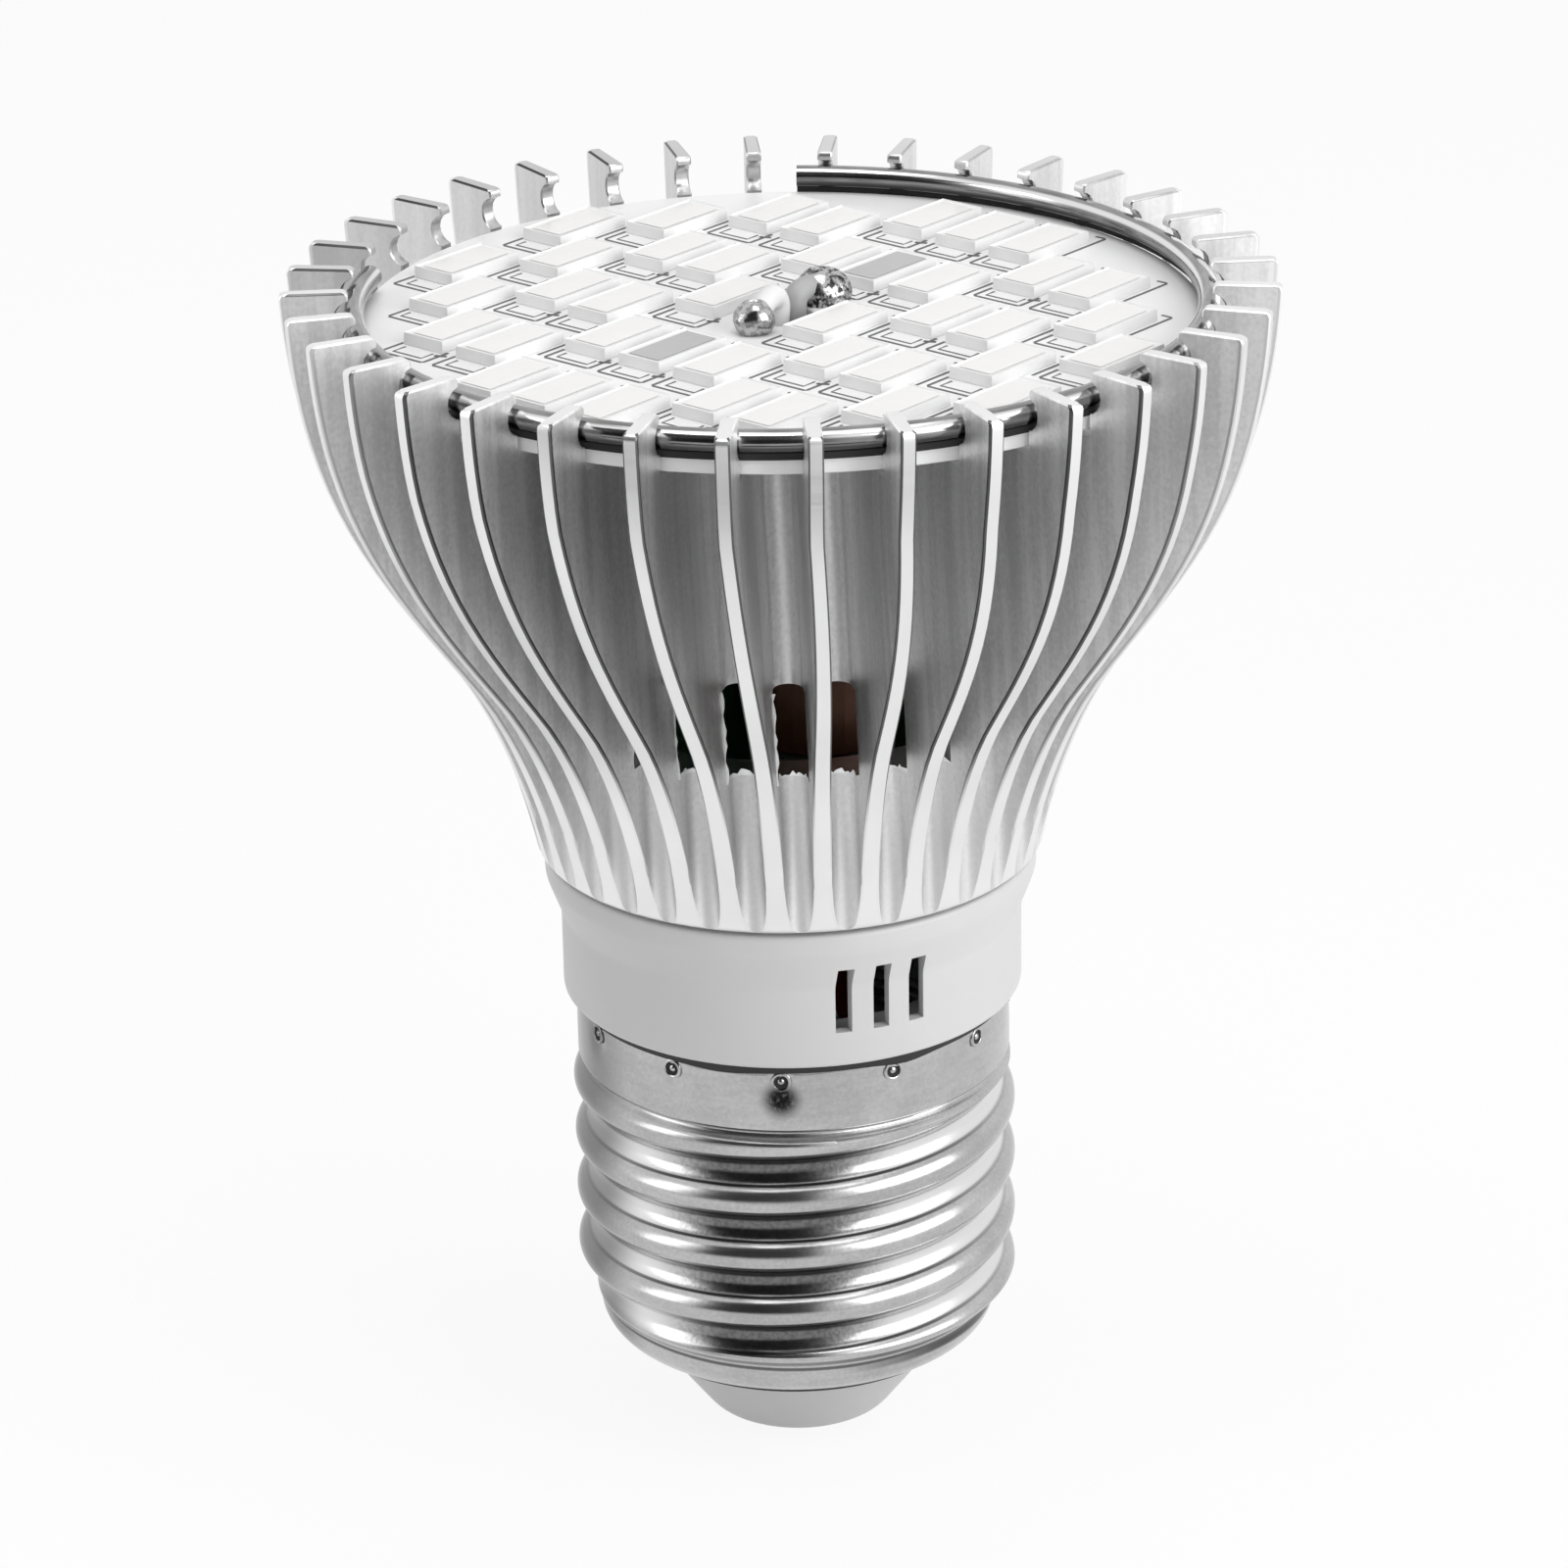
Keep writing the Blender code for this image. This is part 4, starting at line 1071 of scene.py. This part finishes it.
def shell_radius(angle, z, low):
    """Outside radius of the rolled shell."""
    shoulder = low + SHOULDER_RISE
    top = shoulder + THREAD_LENGTH
    crest = shoulder + THREAD_PITCH * (angle - THREAD_START) / TURN
    off = abs((z - crest + THREAD_PITCH / 2) % THREAD_PITCH - THREAD_PITCH / 2)
    near = min(off, THREAD_PITCH / 2 - off)
    drop = THREAD_ARC - math.sqrt(THREAD_ARC ** 2 - near ** 2)
    depth = 2 * (THREAD_ARC - math.sqrt(THREAD_ARC ** 2 - (THREAD_PITCH / 4) ** 2))
    thread = CREST_RADIUS - (drop if near == off else depth - drop)
    skirt = smoothstep(top + 0.35 * MM, top + 0.8 * MM, z)
    base = 1.0 - smoothstep(shoulder, shoulder + 1.6 * MM, z)
    plain = BAND_RADIUS + (SKIRT_RADIUS - BAND_RADIUS) * smoothstep(top + 0.9 * MM, top + 1.15 * MM, z)
    return thread * (1.0 - skirt - base) + plain * skirt + SHOULDER_RADIUS * base


def shell_row(z, low, top, inset):
    """One ring of points on the shell; the highest ones follow the wavy edge."""
    row = []
    for step in range(SHELL_SEGMENTS):
        angle = TURN * step / SHELL_SEGMENTS
        wave = EDGE_WAVE + EDGE_WAVE * math.cos((angle - CRIMP_PHASE) * CRIMP_COUNT)
        level = z - (wave + edge_dip(angle)) * smoothstep(top - 0.7 * MM, top - 0.2 * MM, z)
        radius = shell_radius(angle, z, low) - crimp_hollow(angle, z, top) - inset
        row.append((*polar_point(radius, angle), level))
    return row


def edge_dip(angle):
    """How far the shell's edge sags where its joint with the neck gapes."""
    dip = 0.0
    for spot, width, depth in EDGE_DIPS:
        off = (angle - spot + math.pi) % TURN - math.pi
        dip += depth * math.exp(-(off / width) ** 2)
    return dip


def crimp_hollow(angle, z, top):
    """Depth of the shallow hollow that the punch leaves round and below each crimp."""
    pitch = TURN / CRIMP_COUNT
    off = (angle - CRIMP_PHASE + pitch / 2) % pitch - pitch / 2
    across = off * SKIRT_RADIUS / (0.5 * MM)
    up = (z - (top - 1.2 * MM)) / (0.6 * MM)
    return 0.2 * MM * math.exp(-(across ** 2 + up ** 2) / 2)


def make_shell(finish):
    """Rolled sheet: lip, shoulder, thread and plain skirt, with an upper edge drawn down at the crimps."""
    low, high = (corner.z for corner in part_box("screw_shell"))
    shoulder = low + SHOULDER_RISE
    skirt = shoulder + THREAD_LENGTH
    outer = [(MOUTH_RADIUS - 0.14 * MM, low + 0.03 * MM), (MOUTH_RADIUS, low + 0.12 * MM)]
    outer += arc((SHOULDER_RADIUS - SHOULDER_ROUND, shoulder - 0.25 * MM), SHOULDER_ROUND, math.radians(-62), 0.0, 9)
    levels = spaced(shoulder, skirt, 110) + spaced(skirt, high - 0.3 * MM, 40)[1:]
    rings = [(z, 0.0) for z in levels]
    rings += [(high - SHELL_ROUND, SHELL_ROUND), (high - SHELL_ROUND, SHELL_SHEET - SHELL_ROUND)]
    rings += [(z, SHELL_SHEET) for z in levels[::-3]]
    rows = [circle(radius, z, SHELL_SEGMENTS) for radius, z in outer]
    rows += [shell_row(z, low, high, inset) for z, inset in rings]
    rows += [circle(radius - SHELL_SHEET, z + 0.02 * MM, SHELL_SEGMENTS) for radius, z in outer[::-1]]
    bm = bmesh.new()
    skin(bm, rows + rows[:1], closed=True)
    merge(bm)
    return mesh_object("rolled_shell", bm, [finish], sharp=50.0)


def make_crimps(finish, dark):
    """Punched marks: a raised lip round a bowl painted dark as shade, with a bright core, repeated round the skirt.
    """
    spot = (SKIRT_RADIUS - SHELL_ROUND, 0.0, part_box("screw_shell")[1].z - CRIMP_DROP)
    radius, width, rise = CRIMP_LIP
    turns = [TURN * step / 10 for step in range(10)]
    lip = [(radius + width * math.cos(turn), rise * math.sin(turn)) for turn in turns]
    results = []
    for name, profile, metal in (("crimp_lips", lip, finish), ("crimp_bowls", CRIMP_BOWL, dark),
                                 ("crimp_cores", CRIMP_CORE, finish)):
        bm = revolve(in_mm(profile), 20)
        bmesh.ops.rotate(bm, verts=bm.verts, cent=(0, 0, 0), matrix=Matrix.Rotation(math.pi / 2, 3, "Y"))
        bmesh.ops.translate(bm, verts=bm.verts, vec=spot)
        results.append(repeated(name, mesh_object(name + "_part", bm), CRIMP_COUNT, CRIMP_PHASE, metal))
    return results


def make_gap_shadows(finish):
    """Painted shadow: dark sheets in the gaps over the shell's upper edge, under its lower lip and behind the ring.
    """
    low, high = (corner.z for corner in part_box("screw_shell"))
    bm = bmesh.new()
    for profile, base in ((UPPER_GAP_SHADOW, high), (LOWER_GAP_SHADOW, low)):
        skin(bm, turned_rows(in_mm(profile, base), 120), closed=True)
    for vert in bm.verts:
        if high - 0.5 * MM < vert.co.z < high:
            vert.co.z -= edge_dip(math.atan2(vert.co.y, vert.co.x))
    merge(bm)
    rows = [[(*polar_point(radius, turn), z) for radius, z in in_mm(RING_GAP_SHADOW, board_top())]
            for turn in spaced(RING_FROM, RING_FROM + RING_SWEEP, 120)]
    cap_ends(bm, skin(bm, rows, closed=True))
    return mesh_object("dark_joints", bm, [finish])


def make_cone(finish):
    """Moulded cone under the shell, with a rounded lower edge."""
    profile = rounded(in_mm(CONE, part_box("insulating_cone")[0].z), CONE_ROUND, 6)
    return mesh_object("cap_cone", revolve(profile, 128), [finish], sharp=40.0)


def make_contact(finish):
    """Stamped and riveted centre contact."""
    return mesh_object("cap_contact", revolve(in_mm(CONTACT), 72), [finish])


def leftward(angle):
    """1 at the left of the photograph, -1 at the right."""
    return angle.math("COSINE") * -1.0


def rim_back_shade(angle, z):
    """How much painted shade the fins' upper ends get: most at the back left, less at the back right."""
    left = leftward(angle).band(-0.2, 0.5)
    return z.band(67.0 * MM, 68.6 * MM) * angle.math("SINE").band(-0.15, 0.3) * (left * 0.45 + 0.55)


def aluminium_turned(name, low, high):
    """Fine turning marks; greyer at the waist's sides and at the back of the rim, both painted shade."""
    finish = Finish(name, grey(high), 0.3, 1.0)
    radius, angle, z = finish.polar()
    rings = finish.noise(finish.vector(radius * 900.0, angle * 0.6, z * 1500.0), 4.0, 2.0)
    metal = finish.blend(finish.noise(finish.place(), 160.0, 2.0), grey(low), grey(high))
    # painted shade at the waist's sides, the left darker than the right
    sides = leftward(angle).band(0.2, 0.8) * 0.4 + angle.math("COSINE").band(0.3, 0.9) * 0.15
    waist = z.band(44.0 * MM, 50.0 * MM) * z.fall(58.0 * MM, 64.0 * MM)
    metal = finish.blend(waist * sides, metal, grey(0.3))
    # painted shade at the back of the rim
    finish.give(base_color=finish.blend(rim_back_shade(angle, z) * 0.75, metal, grey(0.42)), roughness=rings * 0.2 + 0.24)
    finish.bump(rings, 0.12, 0.02 * MM)
    return finish


def aluminium_extruded(name, low, high):
    """Die lines along the fins; greyer towards the foot, with painted shade at the back of the rim and a painted
    shade line along the top.
    """
    finish = Finish(name, grey(high), 0.38, 1.0)
    streaks = finish.noise(finish.place((1.0, 1.0, 0.004)), 1100.0, 3.0)
    grain = finish.noise(finish.place((1.0, 1.0, 0.8)), 4200.0, 2.0)
    tone = streaks * 0.65 + grain * 0.35
    radius, angle, z = finish.polar()
    metal = finish.blend(tone.band(0.36, 0.64), grey(low), grey(high))
    metal = finish.blend(z.fall(41.0 * MM, 49.0 * MM) * 0.6, metal, grey(0.56))
    # painted shade at the back of the rim
    metal = finish.blend(rim_back_shade(angle, z) * 0.6, metal, grey(0.48))
    left = leftward(angle).band(-0.2, 0.5)
    # painted shade line along the top edge of the back fins, darker at the left
    outline = z.band(71.84 * MM, 71.9 * MM) * angle.math("SINE").band(-0.35, 0.0) * (left * 0.55 + 0.4)
    finish.give(base_color=finish.blend(outline, metal, grey(0.03)), roughness=streaks * 0.16 + 0.34)
    finish.bump(streaks, 0.18, 0.02 * MM)
    return finish


def fin_edge_line():
    """Broken edges of the fins with painted shade: dark above the windows at the front, pale elsewhere."""
    finish = Finish("fin_edge_line", grey(0.7), 0.4, 1.0)
    radius, angle, z = finish.polar()
    # painted shade on the edges above the windows at the front
    dark = z.band(44.0 * MM, 50.0 * MM) * (angle + math.pi / 2).near(0.75, 1.3)
    mottle = finish.noise(finish.place(), 1800.0, 2.0)
    finish.give(base_color=finish.blend(dark, grey(0.8), grey(0.13)), roughness=mottle * 0.12 + 0.34)
    return finish


def spring_steel():
    """Drawn wire with painted shade underneath and a painted highlight along its top."""
    finish = Finish("spring_steel", grey(0.26), 0.16, 1.0)
    radius, angle, z = finish.polar()
    drawn = finish.noise(finish.vector(radius * 2500.0, angle * 8.0, z * 2500.0), 1.0, 3.0)
    up = z - RING_LEVEL
    # painted highlight: a bright band along the top of the wire
    painted_highlight = up.band(0.2 * MM, 0.32 * MM) * up.fall(0.46 * MM, 0.56 * MM)
    metal = finish.blend(drawn.band(0.3, 0.7), grey(0.2), grey(0.32))
    # painted shade under the wire
    metal = finish.blend(up.band(-0.3 * MM, 0.0), grey(0.06), metal)
    finish.give(base_color=finish.blend(painted_highlight * 0.9, metal, grey(0.8)), roughness=drawn * 0.08 + 0.1)
    finish.bump(drawn, 0.04, 0.01 * MM)
    return finish


def nickel_plate():
    """Nickel on rolled sheet, mostly painted light: pale valleys as painted highlights, dark at the front as a
    painted reflection, painted shade lines on the flanks, a dark line on the shoulder, painted shadow under the lip
    and painted shade under the shoulder at the right, painted shade at the left edge, and one dark patch below a
    crimp.
    """
    finish = Finish("nickel_plate", grey(0.5), 0.22, 1.0)
    cloud = finish.noise(finish.place(), 180.0, 3.0)
    grain = finish.noise(finish.place(), 4200.0, 3.0)
    radius, angle, z = finish.polar()
    rolled = finish.noise(finish.vector(radius * 300.0, angle * 1.2, z * 900.0), 3.0, 2.0)
    tone = cloud * 0.5 + grain * 0.3 + rolled * 0.2

    threaded = z.band(9.3 * MM, 9.9 * MM) * z.fall(23.6 * MM, 24.0 * MM)
    front = (angle + 1.7).near(0.22, 0.68)
    broad = (angle + 1.6).near(0.4, 1.4)
    right = angle.band(-1.5, -0.7) * angle.fall(0.3, 1.2)
    # painted shade lines on the thread's flanks, strongest at the front
    flank = (radius - 12.52 * MM).near(0.05 * MM, 0.12 * MM) * (broad * 0.75 + 0.2)
    valley = radius.fall(12.3 * MM, 12.62 * MM) * threaded
    # painted dark reflection, grainy, in the valleys at the front
    painted_valley_shade = valley * grain.band(0.4, 0.62) * front * 0.35
    # painted shadow under the lip at the front right
    lip = z.fall(6.6 * MM, 6.95 * MM) * angle.band(-1.75, -1.0) * angle.fall(-0.5, 0.0)
    shoulder = (z - 8.55 * MM).near(0.06 * MM, 0.17 * MM)
    # painted shade under the shoulder on the right
    underside_shade = (z - 8.3 * MM).near(0.15 * MM, 0.4 * MM) * right
    # a dark patch under one crimp
    aside, below = (angle - CRIMP_PHASE) * SKIRT_RADIUS, z - 26.5 * MM
    reach = (aside * aside + below * below).math("SQRT")
    crimp_dark_patch = reach.fall(0.35 * MM, 1.5 * MM) * grain.band(0.0, 0.5)
    dark = flank * threaded
    for mark in (painted_valley_shade, shoulder * 0.75, crimp_dark_patch, lip * 0.9, underside_shade * 0.85):
        dark = dark.math("MAXIMUM", mark)

    plate = finish.blend(tone.band(0.3, 0.7), grey(0.38), grey(0.53))
    # valleys: pale at the sides as painted highlights, dark at the front as a painted reflection
    plate = finish.blend(valley, plate, finish.blend(front, grey(0.72), grey(0.17)))
    # painted shade at the left edge
    plate = finish.blend(leftward(angle).band(0.74, 0.93) * 0.8, plate, grey(0.13))
    finish.give(base_color=finish.blend(dark, plate, grey(0.02)), roughness=cloud * 0.12 + 0.16)
    finish.bump(grain + rolled, 0.1, 0.02 * MM)
    return finish


def neck_plastic():
    """Moulded plastic with a fine skin."""
    finish = Finish("neck_plastic", grey(0.8), 0.42, 0.0, ior=1.49)
    fine = finish.noise(finish.place(), 2600.0, 3.0)
    tone = finish.noise(finish.place(), 90.0, 2.0)
    finish.give(base_color=finish.blend(tone, grey(0.55), grey(0.61)), roughness=fine * 0.14 + 0.36)
    finish.bump(fine, 0.12, 0.01 * MM)
    return finish


def white_mask():
    """White lacquer of the board, slightly rippled."""
    finish = Finish("white_mask", grey(0.88), 0.34, 0.0)
    ripple = finish.noise(finish.place(), 1500.0, 2.0)
    tone = finish.noise(finish.place(), 140.0, 2.0)
    finish.give(base_color=finish.blend(tone, grey(0.9), grey(0.95)), roughness=ripple * 0.12 + 0.28)
    finish.bump(ripple, 0.1, 0.01 * MM)
    return finish


def plain_finish(name, low, high, roughness, metallic=0.0, scale=700.0):
    """Finish with a slight mottle in tone and gloss."""
    finish = Finish(name, low, roughness, metallic)
    mottle = finish.noise(finish.place(), scale, 3.0)
    finish.give(base_color=finish.blend(mottle, low, high), roughness=mottle * 0.12 + (roughness - 0.06))
    finish.bump(mottle, 0.08, 0.01 * MM)
    return finish


def solder_finish(name, frosting):
    """Bright solder, more or less frosted with dark grains."""
    finish = Finish(name, grey(0.7), 0.12, 1.0)
    frost = finish.noise(finish.place(), 2600.0, 4.0, 0.7)
    spots = frost.band(0.44, 0.58) * frosting
    finish.give(base_color=finish.blend(spots, grey(0.5), grey(0.03)), roughness=spots * 0.3 + 0.08)
    finish.bump(frost, 0.3 * frosting + 0.04, 0.04 * MM)
    return finish


def make_camera():
    """Camera at its fitted place, turned by yaw, pitch and roll."""
    cos_pitch, sin_pitch = math.cos(CAMERA_PITCH), math.sin(CAMERA_PITCH)
    forward = Vector((math.sin(CAMERA_YAW) * cos_pitch, math.cos(CAMERA_YAW) * cos_pitch, -sin_pitch))
    right = Vector((math.cos(CAMERA_YAW), -math.sin(CAMERA_YAW), 0.0))
    up = right.cross(forward)
    rolled_right = right * math.cos(CAMERA_ROLL) + up * math.sin(CAMERA_ROLL)
    rolled_up = up * math.cos(CAMERA_ROLL) - right * math.sin(CAMERA_ROLL)
    data = bpy.data.cameras.new("camera")
    data.lens = LENS
    data.sensor_width = SENSOR
    data.clip_start = 0.01
    camera = placed("camera", data)
    turn = Matrix((rolled_right, rolled_up, -forward)).transposed()
    camera.matrix_world = Matrix.Translation(CAMERA_PLACE) @ turn.to_4x4()
    bpy.context.scene.camera = camera


def seen_directly(tree):
    """1 for camera, glossy and transmission rays."""
    path = tree.add("ShaderNodeLightPath")
    total = path["Is Camera Ray"] + path["Is Glossy Ray"] + path["Is Transmission Ray"]
    return total.math("MINIMUM", 1.0)


def make_studio():
    """White surroundings, a pale floor, a dark card behind the camera and three soft panels."""
    world = bpy.data.worlds.new("studio")
    bpy.context.scene.world = world
    world.use_nodes = True
    tree = Tree(world.node_tree)
    shader = world.node_tree.nodes["Background"]
    tree.link(seen_directly(tree) * (1.0 - SKY_LIGHT) + SKY_LIGHT, shader.inputs["Strength"])
    shader.inputs["Color"].default_value = (1.0, 1.0, 1.0, 1.0)

    finish = Finish("floor", grey(0.9), 0.7)
    white = finish.add("ShaderNodeEmission", {}, {"Color": grey(1.0), "Strength": 1.0})["Emission"]
    shaded = Signal(finish, finish.shader.outputs["BSDF"])
    mixed = finish.add("ShaderNodeMixShader", {}, [seen_directly(finish) * FLOOR_VEIL, shaded, white])["Shader"]
    finish.link(mixed, finish.nodes.nodes["Material Output"].inputs["Surface"])
    bm = bmesh.new()
    bmesh.ops.create_circle(bm, cap_ends=True, segments=96, radius=STUDIO_RADIUS)
    floor = mesh_object("floor", bm, [finish])
    floor.data.transform(Matrix.Translation((0.0, 0.0, -FLOOR_DROP)))

    finish = Finish("card", grey(0.03), 0.9)
    across = finish.add("ShaderNodeSeparateXYZ", {}, [finish.place()])[0]
    finish.give(alpha=across.band(CARD_LEFT, CARD_LEFT + 0.2) * across.fall(CARD_RIGHT - 0.1, CARD_RIGHT))
    bm = bmesh.new()
    for part in CARD_STRIPS:
        skin(bm, [[(side, y, z) for y, z in part] for side in (CARD_LEFT, CARD_RIGHT)])
    card = mesh_object("dark_card", bm, [finish])
    card.visible_camera = card.visible_diffuse = card.visible_shadow = False

    for name, place, size, radiance in PANELS:
        data = bpy.data.lights.new(name, "AREA")
        data.shape = "RECTANGLE"
        data.size, data.size_y = size
        data.energy = radiance * math.pi * size[0] * size[1]
        light = placed(name, data)
        light.location = place
        light.rotation_euler = (Vector(LIGHT_TARGET) - Vector(place)).to_track_quat("-Z", "Y").to_euler()


def dress_solids(frame):
    """Finishes for the solids that stay as they are."""
    insulation = plain_finish("lead_insulation", (0.35, 0.02, 0.02, 1.0), (0.45, 0.03, 0.03, 1.0), 0.4)
    finishes = {
        "driver_board": plain_finish("fibreglass", (0.012, 0.04, 0.02, 1.0), (0.02, 0.06, 0.03, 1.0), 0.4),
        "electrolytic_capacitor": plain_finish("can_sleeve", grey(0.03), grey(0.05), 0.32),
        "choke_core": plain_finish("ferrite", grey(0.035), grey(0.07), 0.6),
        "choke_winding": plain_finish("copper_winding", (0.05, 0.02, 0.012, 1.0), (0.1, 0.04, 0.02, 1.0), 0.4, 0.5),
        "bridge_rectifier": plain_finish("moulded_black", grey(0.02), grey(0.04), 0.5),
        "fusible_resistor": plain_finish("resistor_coat", (0.12, 0.25, 0.35, 1.0), (0.16, 0.3, 0.4, 1.0), 0.4),
        "contact_lead": insulation, "shell_lead": insulation}
    for name, finish in finishes.items():
        node = frame["nodes"][name]
        node.data.materials.clear()
        node.data.materials.append(finish.material)


def attach(piece, slot, *nodes):
    """Let a piece ride on the bulb and stand for its solids; the slot is not used."""
    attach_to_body(piece, "root")
    if nodes:
        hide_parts(*nodes)


def main():
    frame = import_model()
    make_camera()
    make_studio()
    bpy.context.scene.view_settings.view_transform = "Standard"
    dress_solids(frame)

    heatsink = make_heatsink(aluminium_extruded("aluminium_extruded", 0.76, 0.95),
                             aluminium_turned("aluminium_turned", 0.74, 0.88), fin_edge_line())
    attach(heatsink, "turned_aluminium", "heatsink")
    for burrs in make_burrs(aluminium_turned("aluminium_edge", 0.88, 0.96)):
        attach(burrs, "turned_aluminium")

    attach(make_ring(spring_steel()), "dark_steel", "retaining_ring")
    attach(make_board(white_mask()), "white_mask", "led_board")
    leds, windows, grey_windows = make_leds(plain_finish("led_package", grey(0.88), grey(0.93), 0.4),
                                            plain_finish("led_resin", grey(0.87, 0.01), grey(0.92, 0.01), 0.2),
                                            plain_finish("led_dim_resin", grey(0.34), grey(0.56), 0.2, 0.0, 160.0))
    attach(leds, "led_package", *[f"led_{number:02d}" for number in range(1, len(led_places()) + 1)])
    attach(windows, "led_package")
    attach(grey_windows, "led_package")
    for marks in make_board_marks(plain_finish("mask_edge", grey(0.04), grey(0.16), 0.5)):
        attach(marks, "white_mask")

    solder = make_solder([solder_finish("bright_solder", 0.5), solder_finish("frosted_solder", 1.0)])
    # the far sleeve is the white sleeve in painted shade
    sleeves = make_sleeves([plain_finish("white_sleeve", grey(0.74), grey(0.84), 0.45),
                            plain_finish("dim_sleeve", grey(0.32), grey(0.46), 0.45)])
    for side, joint, sleeve in zip("ab", solder, sleeves):
        attach(joint, "solder", f"solder_joint_{side}")
        attach(sleeve, "white_sleeve", f"led_lead_{side}")

    attach(make_neck(neck_plastic()), "white_plastic", "neck_housing")
    nickel = nickel_plate()
    attach(make_shell(nickel), "nickel_plate", "screw_shell")
    # the crimps' bowls are painted dark as shade
    for mark in make_crimps(nickel, plain_finish("stained_nickel", grey(0.003), grey(0.03), 0.85, 0.0, 2600.0)):
        attach(mark, "nickel_plate")
    # dark sheets as painted shadow in the gaps over and under the shell and behind the ring
    attach(make_gap_shadows(plain_finish("dark_joint", grey(0.01), grey(0.02), 0.7)), "moulded_black")
    attach(make_cone(plain_finish("insulator", grey(0.46), grey(0.52), 0.4)), "insulator", "insulating_cone")
    attach(make_contact(plain_finish("tinned_brass", grey(0.6, 0.05), grey(0.68, 0.05), 0.25, 1.0)),
           "tinned_brass", "centre_contact")


main()
